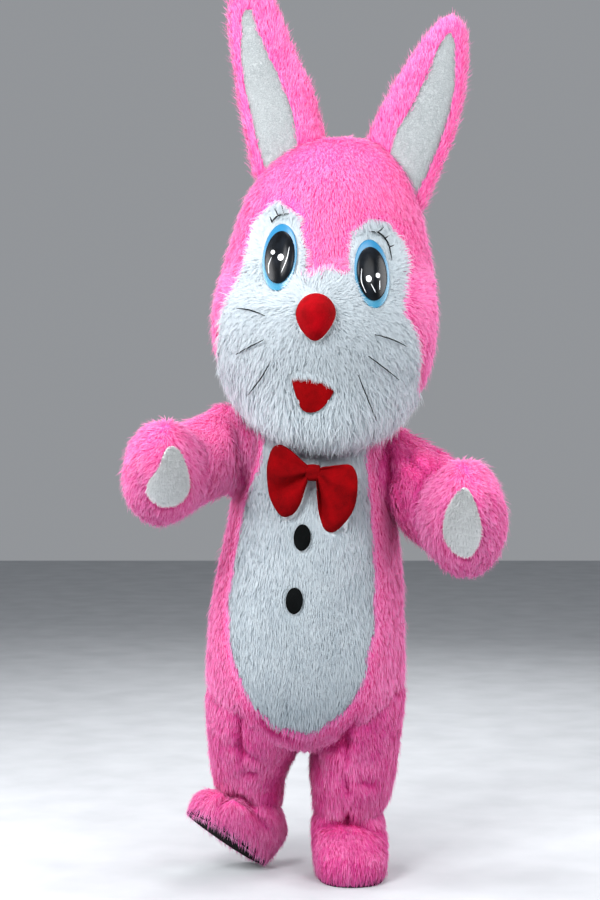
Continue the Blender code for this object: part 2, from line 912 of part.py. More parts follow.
def head_ring(row):
    ring = []
    for column in range(HEAD_COLUMNS):
        angle = 2 * math.pi * column / HEAD_COLUMNS
        sine = math.sin(angle)
        reach = row["back"] if sine > 0 else -row["front"]
        tilt = (row["backheight"] - row["frontheight"]) / 2
        height = (row["backheight"] + row["frontheight"]) / 2 + tilt * sine
        x = row["middle"] + row["half"] * math.cos(angle)
        out = swelling(x, height) * max(0.0, -sine) ** SWELL_FADE
        ring.append(spot(x, reach * sine - out, height))
    return ring


def neck_field(point):
    if point.z + HELD_HEIGHT > NECK_HOLE["below"]:
        return 1.0
    over = (point.x - NECK_HOLE["x"]) / NECK_HOLE["wide"]
    back = (point.y - NECK_HOLE["y"]) / NECK_HOLE["deep"]
    return (math.hypot(over, back) - 1) * NECK_HOLE["deep"]


def build_head():
    cloth = Cloth()
    quarter = HEAD_COLUMNS // 4
    columns = (
        ["head_back_left"] * quarter + ["head_back_right"] * quarter + ["head_brow"] * (2 * quarter)
    )
    rings = [cloth.add_ring(head_ring(row)) for row in HEAD_RINGS]
    cloth.close_start(spot(**HEAD_TOP), rings[0], columns)
    for upper, lower in zip(rings, rings[1:]):
        cloth.add_band(upper, lower, columns)
    cloth.close_end(rings[-1], spot(**HEAD_FOOT), columns)
    cut(cloth, ["head_back_left", "head_back_right", "head_brow"], neck_field, "hole")
    take_out(cloth, "hole")
    cut(cloth, ["head_brow"], front_field(FACE_EDGE), "head_face")
    normals = skin_normals(cloth)
    for piece in sorted(set(cloth.pieces)):
        colour = WHITE if piece == "head_face" else PINK
        wall(cloth, piece, HEAD_WALL, normals, colour)
    return cloth


def build_ear(side, head_tree):
    cloth = Cloth()
    rows = EARS[side]
    front = Vector((0, -1, 0))
    angles = [2 * math.pi * column / EAR_COLUMNS for column in range(EAR_COLUMNS)]
    back = "ear_back_" + side
    names = [back] * EAR_COLUMNS
    sections = outward_path(rows)
    root_way = -sections[0][2]
    rings = []
    for row, centre, along in sections:
        rings.append(cloth.add_ring(oval(centre, -along, front, row["deep"], row["wide"], angles)))
    feet = [onto(head_tree, cloth.points[p], root_way, LAID_GAP) for p in rings[0]]
    middles = [(cloth.points[p] + foot) / 2 for p, foot in zip(rings[0], feet)]
    middle = cloth.add_ring(middles)
    root = cloth.add_ring(feet)
    cloth.close_start(spot(*EAR_TIPS[side]), rings[-1], names)
    for upper, lower in zip(reversed(rings[1:]), reversed(rings[:-1])):
        cloth.add_band(upper, lower, names)
    cloth.add_band(rings[0], middle, names)
    cloth.add_band(middle, root, names)
    lining = "ear_lining_" + side
    cut(cloth, [back], front_field(LININGS[side], 0.0), lining)
    normals = skin_normals(cloth)
    foot = {point for edge in open_edges(cloth) for point in edge}

    def settle(point, place):
        if point not in foot:
            return place
        return onto(head_tree, place - root_way * EAR_LIFT, root_way, EAR_GAP)

    wall(cloth, back, EAR_WALL, normals, PINK, settle)
    wall(cloth, lining, EAR_WALL, normals, CREAM, settle)


def open_edges(cloth):
    used = set()
    for face in cloth.faces:
        used.update(face_edges(face))
    return [edge for edge in used if (edge[1], edge[0]) not in used]


def onto(tree, place, way, gap):
    # Where a line from "place" meets the skin, held off it by the gap.
    hit = tree.ray_cast(place, way)
    return hit[0] - way.normalized() * gap


def laid_rings(tree, outline, centre, shares, gap):
    # Rings of points on the skin, seen from the front: the outline drawn in towards its centre.
    back = Vector((0, 1, 0))
    rings = []
    for share in shares:
        ring = []
        for corner in outline:
            place = centre + (corner - centre) * share
            ring.append(onto(tree, Vector((place.x, RAY_START, place.y)), back, gap))
        rings.append(ring)
    return rings


def laid_piece(
    name, tree, outline, rise, colour, roughness, shares=LAID_SHARES, gap=LAID_GAP
):
    # A piece laid on a panel: its back follows the panel's points, and its front swells by "rise".
    centre = sum(outline, Vector((0, 0))) / len(outline)
    around = sum(a.cross(b) for a, b in zip(outline, outline[1:] + outline[:1]))
    if around < 0:
        outline = outline[::-1]
    cloth = Cloth()
    names = [name] * len(outline)
    rings = laid_rings(tree, outline, centre, shares, gap)
    front_rings = []
    for share, ring in zip(shares, rings):
        swell = rise * math.sqrt(max(EDGE_RISE, 1 - share * share))
        front_rings.append(cloth.add_ring([p + Vector((0, -swell, 0)) for p in ring]))
    back_rings = [cloth.add_ring(ring) for ring in rings]
    for outer, inner in zip(front_rings, front_rings[1:]):
        cloth.add_band(inner, outer, names)
    for outer, inner in zip(back_rings, back_rings[1:]):
        cloth.add_band(outer, inner, names)
    cloth.add_band(front_rings[0], back_rings[0], names)
    middle = onto(tree, Vector((centre.x, RAY_START, centre.y)), Vector((0, 1, 0)), gap)
    cloth.close_start(middle + Vector((0, -rise, 0)), front_rings[-1], names)
    cloth.close_end(back_rings[-1], middle, names)
    add_piece(name, cloth.points, cloth.faces, colour, roughness)
    return cloth


def oval_outline(x, height, wide, tall, turn, count=OVAL_COLUMNS):
    lean = math.radians(turn)
    line = []
    for place in range(count):
        angle = 2 * math.pi * place / count
        over = wide * math.cos(angle)
        up = tall * math.sin(angle)
        line.append(
            Vector(
                (
                    x + over * math.cos(lean) + up * math.sin(lean),
                    height - HELD_HEIGHT + up * math.cos(lean) - over * math.sin(lean),
                )
            )
        )
    return line


def build_face(head):
    tree = head.tree()
    for side, eye in EYES.items():
        ring = oval_outline(**eye)
        name = "eye_ring_" + side
        laid_piece(name, tree, ring, EYE_RING_THICK, BLUE, SATIN)
        pupil = dict(eye, wide=eye["wide"] * IRIS_SHARE[0], tall=eye["tall"] * IRIS_SHARE[1])
        on_ring = bpy.data.objects[name]
        ring_tree = BVHTree.FromObject(on_ring, bpy.context.evaluated_depsgraph_get())
        outline = oval_outline(**pupil)
        laid_piece("eye_dome_" + side, ring_tree, outline, EYE_DOME_RISE, BLACK, GLOSSY)
    nose = smooth_edge(NOSE_EDGE, 2)
    laid_piece("nose", tree, nose, NOSE_RISE, RED, SOFT, NOSE_SHARES, NOSE_GAP)
    laid_piece("mouth", tree, smooth_edge(MOUTH_EDGE, 3), MOUTH_RISE, RED, SOFT)


def build_trims(suit):
    tree = suit.tree()
    for side, edge in PALM_PATCHES.items():
        outline = smooth_edge(edge, 2)
        laid_piece("palm_patch_" + side, tree, outline, PALM_RISE, CREAM, SOFT, gap=PALM_GAP)
    for row in BUTTONS:
        size = BUTTON_SIZE
        outline = oval_outline(
            row["x"], row["height"], size["wide"], size["tall"], size["turn"], BUTTON_COLUMNS
        )
        laid_piece(row["name"], tree, outline, size["rise"], BLACK, SOFT, BUTTON_SHARES)


def build_bow():
    knot = spot(**BOW_KNOT)
    front = Vector((0, 0, 1))
    angles = [2 * math.pi * place / BOW_COLUMNS for place in range(BOW_COLUMNS)]
    names = ["bow"] * BOW_COLUMNS
    for side, rows in BOW_LOOPS.items():
        sign = -1 if side == "right" else 1
        cloth = Cloth()
        rings = []
        for row in rows:
            forward = BOW_FORWARD * row["out"]
            centre = knot + Vector((sign * row["out"], -forward, -row["down"]))
            along = Vector((sign, 0, 0))
            rings.append(cloth.add_ring(oval(centre, along, front, row["tall"], row["deep"], angles)))
        first = centre_of(cloth, rings[0])
        last = centre_of(cloth, rings[-1])
        cloth.close_start(first, rings[0], names)
        for near, far in zip(rings, rings[1:]):
            cloth.add_band(near, far, names)
        cloth.close_end(rings[-1], last, names)
        add_piece("bow_loop_" + side, cloth.points, cloth.faces, RED)
    build_knot(knot, angles, names)


def build_knot(knot, angles, names):
    cloth = Cloth()
    rings = []
    for share in KNOT_SHARES:
        size = math.sqrt(max(KNOT_END, 1 - share * share * KNOT_ROUND))
        centre = knot + Vector((0, 0, share * KNOT_SIZE["tall"]))
        deep = KNOT_SIZE["deep"] * size
        wide = KNOT_SIZE["wide"] * size
        front = Vector((0, -1, 0))
        rings.append(cloth.add_ring(oval(centre, Vector((0, 0, -1)), front, deep, wide, angles)))
    cloth.close_start(knot + Vector((0, 0, KNOT_SIZE["tall"])), rings[0], names)
    for upper, lower in zip(rings, rings[1:]):
        cloth.add_band(upper, lower, names)
    cloth.close_end(rings[-1], knot - Vector((0, 0, KNOT_SIZE["tall"])), names)
    add_piece("bow_knot", cloth.points, cloth.faces, RED)


def main():
    clear_scene()
    suit = build_suit()
    head = build_head()
    head_tree = head.tree()
    for side in ("right", "left"):
        build_ear(side, head_tree)
    build_face(head)
    build_trims(suit)
    build_bow()


main()
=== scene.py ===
import json
import math

import bmesh
import bpy
import numpy as np
from mathutils import Matrix, Vector
from mathutils.bvhtree import BVHTree
from mathutils.kdtree import KDTree

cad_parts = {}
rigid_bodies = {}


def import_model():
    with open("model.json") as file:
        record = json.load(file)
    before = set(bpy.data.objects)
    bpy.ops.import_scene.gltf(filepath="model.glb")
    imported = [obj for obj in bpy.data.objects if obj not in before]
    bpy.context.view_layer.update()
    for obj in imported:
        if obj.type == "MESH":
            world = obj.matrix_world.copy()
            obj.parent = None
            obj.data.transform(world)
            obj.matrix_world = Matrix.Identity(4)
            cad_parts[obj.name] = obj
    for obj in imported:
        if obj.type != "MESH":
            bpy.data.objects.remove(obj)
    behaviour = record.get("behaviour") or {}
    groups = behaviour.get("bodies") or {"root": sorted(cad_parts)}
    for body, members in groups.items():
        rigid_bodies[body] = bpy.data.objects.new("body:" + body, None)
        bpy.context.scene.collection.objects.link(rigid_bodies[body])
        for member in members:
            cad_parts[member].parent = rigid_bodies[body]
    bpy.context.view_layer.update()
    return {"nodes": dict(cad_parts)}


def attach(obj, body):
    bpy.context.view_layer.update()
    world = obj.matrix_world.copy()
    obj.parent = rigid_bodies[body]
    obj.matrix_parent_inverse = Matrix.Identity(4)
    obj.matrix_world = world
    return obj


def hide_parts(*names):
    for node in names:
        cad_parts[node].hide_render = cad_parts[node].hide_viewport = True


for found in list(bpy.data.objects):
    bpy.data.objects.remove(found, do_unlink=True)
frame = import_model()

floorBelow = 1.15  # the origin is between the wearer's shoulders, this far above the floor
tiny = 1e-6  # metres: the least length that anything is divided by
weld = 1e-5  # metres: corners of a CAD piece that are closer are one
sides = ("right", "left")


def spot(x, y, height):
    return Vector((x, y, height - floorBelow))


def spotsOf(line):
    # a line of (x, y, height) in millimetres
    return [spot(*[value / 1000 for value in row]) for row in line]


def placeObject(name, data):
    made = bpy.data.objects.new(name, data)
    bpy.context.scene.collection.objects.link(made)
    return made


def placeAimed(name, data, place, aim):
    made = placeObject(name, data)
    made.location = place
    made.rotation_euler = (aim - place).to_track_quat("-Z", "Y").to_euler()
    return made


def toLinear(colour):
    # sRGB hex to the linear colour that shaders use
    parts = [int(colour[start:start + 2], 16) / 255 for start in (0, 2, 4)]
    return (*[p / 12.92 if p <= 0.04045 else ((p + 0.055) / 1.055) ** 2.4 for p in parts], 1.0)


def addNode(tree, kind, inputs=None, **settings):
    # adds a node, sets what it is told and links any socket that is given as an input
    node = tree.nodes.new(kind)
    for name, value in settings.items():
        setattr(node, name, value)
    for name, value in (inputs or {}).items():
        if isinstance(value, bpy.types.NodeSocket):
            tree.links.new(value, node.inputs[name])
        else:
            node.inputs[name].default_value = value
    return node


def calculate(tree, operation, *values, **settings):
    return addNode(tree, "ShaderNodeMath", dict(enumerate(values)), operation=operation, **settings).outputs[0]


def ranged(tree, value, low, high, start=0.0, end=1.0):
    # a value between start and end, brought between low and high
    inputs = {"Value": value, "From Min": start, "From Max": end, "To Min": low, "To Max": high}
    return addNode(tree, "ShaderNodeMapRange", inputs).outputs[0]


def objectPlace(tree):
    return addNode(tree, "ShaderNodeTexCoord").outputs["Object"]


def noiseAt(tree, where, scale, detail, distortion=0.0):
    inputs = {"Vector": where, "Scale": scale, "Detail": detail, "Distortion": distortion}
    return addNode(tree, "ShaderNodeTexNoise", inputs).outputs["Fac"]


def startMaterial(name, sockets):
    made = bpy.data.materials.new(name)
    made.use_nodes = True
    shader = made.node_tree.nodes["Principled BSDF"]
    for socket, value in sockets.items():
        shader.inputs[socket].default_value = value
    return made, made.node_tree, shader


def addRamp(tree, factor, stops):
    node = addNode(tree, "ShaderNodeValToRGB", {"Fac": factor})
    ramp = node.color_ramp
    while len(ramp.elements) < len(stops):
        ramp.elements.new(0.5)
    for element, (place, colour) in zip(ramp.elements, stops):
        element.position = place
        element.color = toLinear(colour)
    return node.outputs["Color"]


def colourBy(tree, shader, factor, stops):
    tree.links.new(addRamp(tree, factor, stops), shader.inputs["Base Color"])


def raiseBy(tree, shader, height, strength, distance):
    raised = addNode(tree, "ShaderNodeBump", {"Height": height, "Strength": strength, "Distance": distance})
    tree.links.new(raised.outputs["Normal"], shader.inputs["Normal"])


# camera at the viewer's own height, level with the chest, looking a little down
cameraView = {"x": -0.01625, "distance": 5.0, "height": 1.21, "aimHeight": 1.055, "lens": 80.04, "sensor": 36.0}
# soft boxes near the head at the front left, front right and both sides, one above and a rim from behind
lamps = {
    "key": {"at": (-1.6, -2.5, 2.8), "size": 1.6, "power": 150.0},
    "fill": {"at": (1.7, -2.7, 2.5), "size": 1.8, "power": 66.0},
    "left": {"at": (-2.8, 0.3, 1.8), "size": 1.6, "power": 85.0},
    "right": {"at": (2.8, 0.3, 1.8), "size": 1.6, "power": 60.0},
    "top": {"at": (0.0, -0.3, 3.9), "size": 1.8, "power": 70.0},
    "rim": {"at": (0.8, 3.0, 2.9), "size": 2.0, "power": 70.0},
}
room = {"colour": "EEF2F8", "strength": 0.34, "lampAim": 1.1, "floorSize": 9.0}


def placeCamera(view):
    data = bpy.data.cameras.new("camera")
    data.lens = view["lens"]
    data.sensor_fit = "VERTICAL"
    data.sensor_width = data.sensor_height = view["sensor"]
    place = spot(view["x"], -view["distance"], view["height"])
    bpy.context.scene.camera = placeAimed("camera", data, place, spot(view["x"], 0.0, view["aimHeight"]))


def buildRoom():
    for name, lamp in lamps.items():
        data = bpy.data.lights.new(name, "AREA")
        data.shape = "DISK"
        data.size = lamp["size"]
        data.energy = lamp["power"]
        placeAimed(name, data, spot(*lamp["at"]), spot(0.0, 0.0, room["lampAim"]))
    world = bpy.data.worlds.new("room")
    world.use_nodes = True
    back = world.node_tree.nodes["Background"].inputs
    back["Color"].default_value = toLinear(room["colour"])
    back["Strength"].default_value = room["strength"]
    bpy.context.scene.world = world
    bpy.context.scene.view_settings.view_transform = "Standard"  # keeps the dyed colours clean
    # painted concrete: matt, with a faint cloudiness a hand across
    made, tree, shader = startMaterial("paintedConcrete", {"Roughness": 0.85})
    clouds = noiseAt(tree, objectPlace(tree), scale=6.0, detail=4.0)
    colourBy(tree, shader, clouds, [(0.3, "A8ABAF"), (0.7, "B2B5B9")])
    size = room["floorSize"]
    mesh = bpy.data.meshes.new("floor")
    corners = [(x * size, y * size, -floorBelow) for x, y in ((-1, -1), (1, -1), (1, 1), (-1, 1))]
    mesh.from_pydata(corners, [], [(0, 1, 2, 3)])
    mesh.materials.append(made)
    placeObject("floor", mesh)


placeCamera(cameraView)
buildRoom()
print("stage: camera, lights and floor")


def workOn(*meshes):
    work = bmesh.new()
    for mesh in meshes:
        work.from_mesh(mesh)
    return work


def meshFrom(work, name):
    mesh = bpy.data.meshes.new(name)
    work.to_mesh(mesh)
    work.free()
    return mesh


def joinedMesh(name, meshes):
    return meshFrom(workOn(*meshes), name)


def solidForm(node):
    # a CAD piece's surface, with its corners welded and its normals outwards
    work = workOn(frame["nodes"][node].data)
    bmesh.ops.remove_doubles(work, verts=work.verts, dist=weld)
    bmesh.ops.recalc_face_normals(work, faces=work.faces)
    return work


def joinTriangles(work):
    bmesh.ops.join_triangles(
        work, faces=work.faces, cmp_materials=True, angle_face_threshold=0.6, angle_shape_threshold=0.9
    )


def bridge(work, first, second, closed=True):
    # a band of faces between two rows of corners
    for index in range(len(first) if closed else len(first) - 1):
        after = (index + 1) % len(first)
        work.faces.new((first[index], first[after], second[after], second[index]))


def finishedMesh(made):
    # the object's mesh with its modifiers carried out; the object itself goes
    graph = bpy.context.evaluated_depsgraph_get()
    shown = made.evaluated_get(graph)
    result = bpy.data.meshes.new_from_object(shown, preserve_all_data_layers=True, depsgraph=graph)
    bpy.data.objects.remove(made, do_unlink=True)
    return result


def modified(mesh, kind, **settings):
    made = placeObject("modified", mesh)
    modifier = made.modifiers.new("modifier", kind)
    for name, value in settings.items():
        setattr(modifier, name, value)
    return finishedMesh(made)


def smoothed(mesh, levels):
    return modified(mesh, "SUBSURF", levels=levels, render_levels=levels)


def smoothNode(node, levels=2):
    # a CAD piece's own form with its facets smoothed out
    work = solidForm(node)
    joinTriangles(work)
    return smoothed(meshFrom(work, node), levels)


def readArray(source, attribute, width, count, kind=np.float64):
    values = np.empty(count * width, kind)
    source.foreach_get(attribute, values)
    return values.reshape(count, width) if width > 1 else values


def readPoints(mesh):
    return readArray(mesh.vertices, "co", 3, len(mesh.vertices))


def pointNormals(mesh):
    mesh.update()
    return readArray(mesh.vertex_normals, "vector", 3, len(mesh.vertices), np.float32).astype(np.float64)


def storeValues(mesh, name, values):
    # one number or one vector for each point of the mesh
    kind, key = ("FLOAT", "value") if np.ndim(values) == 1 else ("FLOAT_VECTOR", "vector")
    attribute = mesh.attributes.new(name, kind, "POINT")
    attribute.data.foreach_set(key, np.asarray(values, np.float32).ravel())


def unitRows(vectors):
    return vectors / np.maximum(np.linalg.norm(vectors, axis=1), tiny)[:, None]


def nearness(distance, reach, power=2):
    # 1 at no distance, fading out about the reach
    return np.exp(-((distance / reach) ** power))


def curveThrough(corners, steps=5):
    # a smooth line through the points
    ends = [corners[0]] + list(corners) + [corners[-1]]
    line = []
    for a, b, c, d in zip(ends, ends[1:], ends[2:], ends[3:]):
        for step in range(steps):
            t = step / steps
            line.append(b + (c - a) * (t / 2) + (a * 2 - b * 5 + c * 4 - d) * (t * t / 2)
                        + (b * 3 - a - c * 3 + d) * (t ** 3 / 2))
    return line + [ends[-1]]


def nearestOnLine(line, point):
    best = None
    for first, second in zip(line, line[1:]):
        along = second - first
        share = max(0.0, min(1.0, (point - first).dot(along) / along.length_squared))
        place = first + along * share
        if best is None or (point - place).length < (point - best).length:
            best = place
    return best


def distanceToLine(points, line):
    # distance of each point to a line of points, and how far along it from 0 to 1 the nearest place is
    best = np.full(len(points), np.inf)
    place = np.zeros(len(points))
    for index, (first, second) in enumerate(zip(line, line[1:])):
        first, along = np.array(first), np.array(second) - np.array(first)
        share = np.clip(((points - first) @ along) / max(along @ along, tiny * tiny), 0.0, 1.0)
        away = np.linalg.norm(points - first - share[:, None] * along, axis=1)
        nearer = away < best
        best[nearer] = away[nearer]
        place[nearer] = (index + share[nearer]) / (len(line) - 1)
    return best, place


def surfaceTree(*meshes):
    points = []
    faces = []
    for mesh in meshes:
        start = len(points)
        points += [tuple(vertex.co) for vertex in mesh.vertices]
        faces += [tuple(start + index for index in polygon.vertices) for polygon in mesh.polygons]
    return BVHTree.FromPolygons(points, faces)


# lines down the middle of what the panels wrap, as (x, y, height) in millimetres
coreLines = {
    "body": [(20, 5, 1200), (0, 0, 620), (0, 0, 380)],
    "right arm": [(-160, 0, 1050), (-272, -124, 1028), (-322, -210, 1012), (-376, -325, 994)],
    "left arm": [(180, 0, 1020), (311, -120, 932), (358, -206, 908), (410, -322, 885)],
    "right leg": [(-120, 0, 420), (-144, 16, 262), (-150, 30, 170), (-210, 0, 120)],
    "left leg": [(120, 0, 420), (117, -16, 236), (105, -20, 120), (107, -100, 70)],
    "head": [(80, 0, 1700), (45, 0, 1280)],
    "right ear": [(-40, 0, 1790), (-80, 0, 1940), (-142, 0, 2180)],
    "left ear": [(230, 0, 1770), (296, 0, 1918), (365, 0, 2110)],
}
# panels of each skin as (node, its core, its kind of pile)
panelTable = {
    "suit": [
        ("suit_front", "body", "body"), ("suit_belly", "body", "belly"),
        ("suit_back_left", "body", "body"), ("suit_back_right", "body", "body"),
        ("sleeve_right", "right arm", "sleeve"), ("sleeve_left", "left arm", "sleeve"),
        ("mitt_palm_right", "right arm", "mitt"), ("mitt_back_right", "right arm", "mitt"),
        ("mitt_palm_left", "left arm", "mitt"), ("mitt_back_left", "left arm", "mitt"),
        ("leg_right", "right leg", "leg"), ("leg_left", "left leg", "leg"),
        ("shoe_upper_right", "right leg", "shoe"), ("shoe_upper_left", "left leg", "shoe"),
    ],
    "head": [
        ("head_face", "head", "face"), ("head_brow", "head", "head"),
        ("head_back_left", "head", "head"), ("head_back_right", "head", "head"),
    ],
    "ear_right": [("ear_back_right", "right ear", "ear"), ("ear_lining_right", "right ear", "lining")],
    "ear_left": [("ear_back_left", "left ear", "ear"), ("ear_lining_left", "left ear", "lining")],
}
paleKinds = ("belly", "face", "lining")
# each skin's wall in metres, its rounds of smoothing, how far it lies inside the reach of its pile, the groove along
# its seams, and how near a pale panel the pink pile is clipped, and by what share
skinColumns = ("thick", "levels", "inset", "groove", "grooveWidth", "clipReach", "clipped")
skinRows = {
    "suit": (0.010, 2, 0.007, 0.005, 0.010, 0.030, 0.75),
    "head": (0.016, 2, 0.005, 0.002, 0.010, 0.026, 0.80),
    "ear_right": (0.008, 1, 0.003, 0.002, 0.008, 0.020, 0.30),
    "ear_left": (0.008, 1, 0.003, 0.002, 0.008, 0.020, 0.30),
}
skinTable = {name: dict(zip(skinColumns, row)) for name, row in skinRows.items()}
# metres by which a wall's thickness may be off, radians that an edge may turn, shares of the faces on one side, and
# the area in square metres below which a face is a sliver
wallRules = {"slack": 5e-6, "anyAngle": 3.2, "sharpAngle": 0.9, "wholeShare": 0.6, "sideShare": 0.2, "sliver": 1e-9}
seamReach = 0.0009  # metres: the panels' edges are 0.3 mm apart at a seam


def outerFaces(node, core, thick):
    # the outer skin of a panel's closed wall: all that is joined to its outermost face without crossing the cut
    # edge, whose faces each have one side as long as the wall is thick
    rules = wallRules
    work = solidForm(node)
    work.faces.ensure_lookup_table()
    count = len(work.faces)
    rim = {face.index for face in work.faces
           if any(abs(edge.calc_length() - thick) < rules["slack"] for edge in face.edges)}

    def outwardness(face):
        middle = face.calc_center_median()
        return face.normal.dot(middle - nearestOnLine(core, middle))

    def spread(start, sharpest):
        reached = {start.index}
        waiting = [start]
        while waiting:
            for edge in waiting.pop().edges:
                if edge.calc_face_angle(0.0) > sharpest:
                    continue
                for other in edge.link_faces:
                    if other.index not in reached and other.index not in rim:
                        reached.add(other.index)
                        waiting.append(other)
        return reached

    starts = sorted((face for face in work.faces if face.index not in rim), key=outwardness, reverse=True)
    reached = spread(starts[0], rules["anyAngle"])
    if len(reached) > rules["wholeShare"] * count:
        # an ear's foot is shaped to the head, so only its sharp edge parts its outside from its inside
        tries = (spread(start, rules["sharpAngle"]) for start in starts)
        reached = next(found for found in tries if len(found) > rules["sideShare"] * count)
    for _ in range(2):
        for face in work.faces:
            beside = sum(
                any(other.index in reached for other in edge.link_faces if other != face) for edge in face.edges
            )
            if beside > 1:
                reached.add(face.index)
    outside = [[vertex.co.copy() for vertex in work.faces[index].verts] for index in sorted(reached)]
    work.free()
    return outside


def joinedSkin(name, panels):
    # one smooth skin over several panels, whose faces remember their panel by material index
    values = skinTable[name]
    work = bmesh.new()
    for index, (node, core, _) in enumerate(panels):
        for corners in outerFaces(node, spotsOf(coreLines[core]), values["thick"]):
            face = work.faces.new([work.verts.new(corner) for corner in corners])
            face.material_index = index
    bmesh.ops.remove_doubles(work, verts=work.verts, dist=seamReach)
    flat = [face for face in work.faces if face.calc_area() < wallRules["sliver"]]
    bmesh.ops.delete(work, geom=flat, context="FACES_ONLY")
    joinTriangles(work)
    return smoothed(meshFrom(work, name), values["levels"])


skins = {name: joinedSkin(name, panels) for name, panels in panelTable.items()}
print("stage: skins joined")

# soft troughs that the wearer's pose presses into the suit, in millimetres: a line of (x, y, height), its depth, or a
# ridge's height where that is negative, and its width
creases = [
    # right armpit, then left armpit
    ([(-173, -85, 1107), (-168, -108, 1058), (-164, -87, 1009), (-162, -65, 963)], 18, 11),
    ([(200, -29, 1101), (201, -67, 1069), (202, -89, 1021), (210, -83, 959), (221, -107, 899)], 18, 12),
    # shoulders, pushed up, and the left sleeve, slack on top
    ([(-238, 10, 1130), (-195, 10, 1155), (-150, 10, 1150)], -30, 34),
    ([(245, 10, 1085), (205, 10, 1120), (170, 10, 1125)], -22, 30),
    ([(285, -10, 1095), (320, -70, 1060), (345, -140, 1025)], 24, 45),
    # wrists and sleeves
    ([(-290, -240, 1075), (-322, -150, 1110), (-330, -100, 1060)], 4, 10),
    ([(-241, -218, 1067), (-236, -227, 1038), (-247, -253, 1006)], 8, 9),
    ([(-222, -208, 1014), (-228, -201, 975), (-244, -209, 951)], 9, 10),
    ([(242, -81, 1058), (257, -128, 1030), (285, -180, 1012)], 8, 10),
    ([(219, -95, 1009), (222, -134, 962), (231, -157, 919)], 9, 10),
    ([(300, -210, 930), (310, -140, 985), (330, -80, 990)], 5, 10),
    ([(362, -160, 1020), (388, -170, 985), (400, -130, 930)], 7, 10),
    # mitts, flatter beside the thumb
    ([(-385, -300, 1120), (-412, -300, 1080), (-430, -300, 1015)], 23, 36),
    ([(415, -290, 1030), (447, -290, 990), (464, -290, 935)], 20, 34),
    # right leg, then left leg
    ([(-167, -149, 431), (-165, -137, 387), (-163, -120, 335), (-162, -98, 289)], 16, 10),
    ([(-198, -97, 339), (-173, -114, 334), (-146, -117, 317), (-119, -112, 304)], 10, 11),
    ([(-164, -85, 262), (-140, -91, 266), (-115, -85, 259)], 9, 11),
    ([(106, -149, 365), (101, -139, 339), (96, -130, 305)], 15, 10),
    ([(94, -125, 262), (99, -123, 235), (104, -121, 220)], 12, 10),
    ([(99, -104, 172), (102, -101, 151), (99, -111, 134)], 14, 10),
    ([(116, -127, 255), (146, -121, 247), (176, -106, 249)], 7, 10),
    # right groin, then left groin
    ([(-10, -140, 335), (-26, -143, 349), (-65, -154, 363), (-108, -166, 395), (-138, -168, 424)], 13, 13),
    ([(10, -130, 322), (45, -110, 326), (84, -139, 344), (105, -158, 379), (134, -167, 417)], 13, 13),
    # over the right toe cap, over the left shoe and at its toe
    ([(-221, -90, 166), (-214, -77, 188), (-200, -60, 197), (-183, -44, 199), (-165, -54, 201), (-148, -53, 183),
      (-116, -58, 147), (-84, -28, 98)], 16, 10),
    ([(28, -78, 126), (53, -94, 137), (95, -103, 144), (132, -103, 139), (161, -99, 126), (186, -88, 108)], 14, 10),
    ([(108, -190, 110), (112, -200, 60), (113, -190, 30)], 4, 10),
    # back: the waist, the shoulder blades and the backs of the legs
    ([(-120, 200, 860), (0, 210, 830), (110, 200, 850)], 6, 30),
    ([(-170, 150, 1030), (-130, 170, 930), (-120, 190, 800)], 8, 30),
    ([(190, 150, 1000), (150, 170, 910), (140, 190, 780)], 8, 28),
    ([(-100, 170, 360), (-120, 140, 310), (-140, 130, 250)], 9, 22),
    ([(110, 170, 350), (120, 130, 290), (130, 110, 220)], 9, 22),
    ([(-43, -215, 480), (-45, -206, 445), (-48, -189, 403)], 6, 12),  # foot of the belly
]
# pile that lies short and takes painted shade where shade falls, between the legs, under the arm and under the belly:
# line and width in millimetres, and how much
shortPileAndPaintedShadeLines = [
    ([(-30, -60, 300), (-60, -45, 240), (-80, -40, 190)], 34, 0.55),  # inside the right leg
    ([(20, -60, 290), (45, -60, 230), (45, -60, 180)], 26, 0.40),  # inside the left leg
    ([(200, -80, 1110), (215, -90, 920)], 22, 0.16),  # under the left arm
    ([(-120, -180, 420), (0, -190, 400), (120, -180, 410)], 80, 0.28),  # under the belly
]
# how a crease fades at its ends; in metres, the width below which it is a fold that takes painted shade and the depth
# of a fold in full painted shade; its painted shade's width as a share of its width, and its banks: their height as a
# share of its depth, and how many widths off they are
creaseRules = {"span": (0.02, 0.98), "ends": 0.6, "fold": 0.02, "fullDepth": 0.014, "shaded": 0.9, "bank": 0.25,
               "bankAway": 2.2}


def seamDistances(mesh, kindOf):
    # each point's distance from the nearest seam between faces of two kinds
    work = workOn(mesh)
    work.verts.ensure_lookup_table()
    seam = {vertex.index for edge in work.edges for vertex in edge.verts
            if len({kindOf(face.material_index) for face in edge.link_faces}) == 2}
    tree = KDTree(len(seam))
    for index in seam:
        tree.insert(work.verts[index].co, index)
    tree.balance()
    distances = np.array([tree.find(vertex.co)[2] for vertex in work.verts])
    work.free()
    return distances


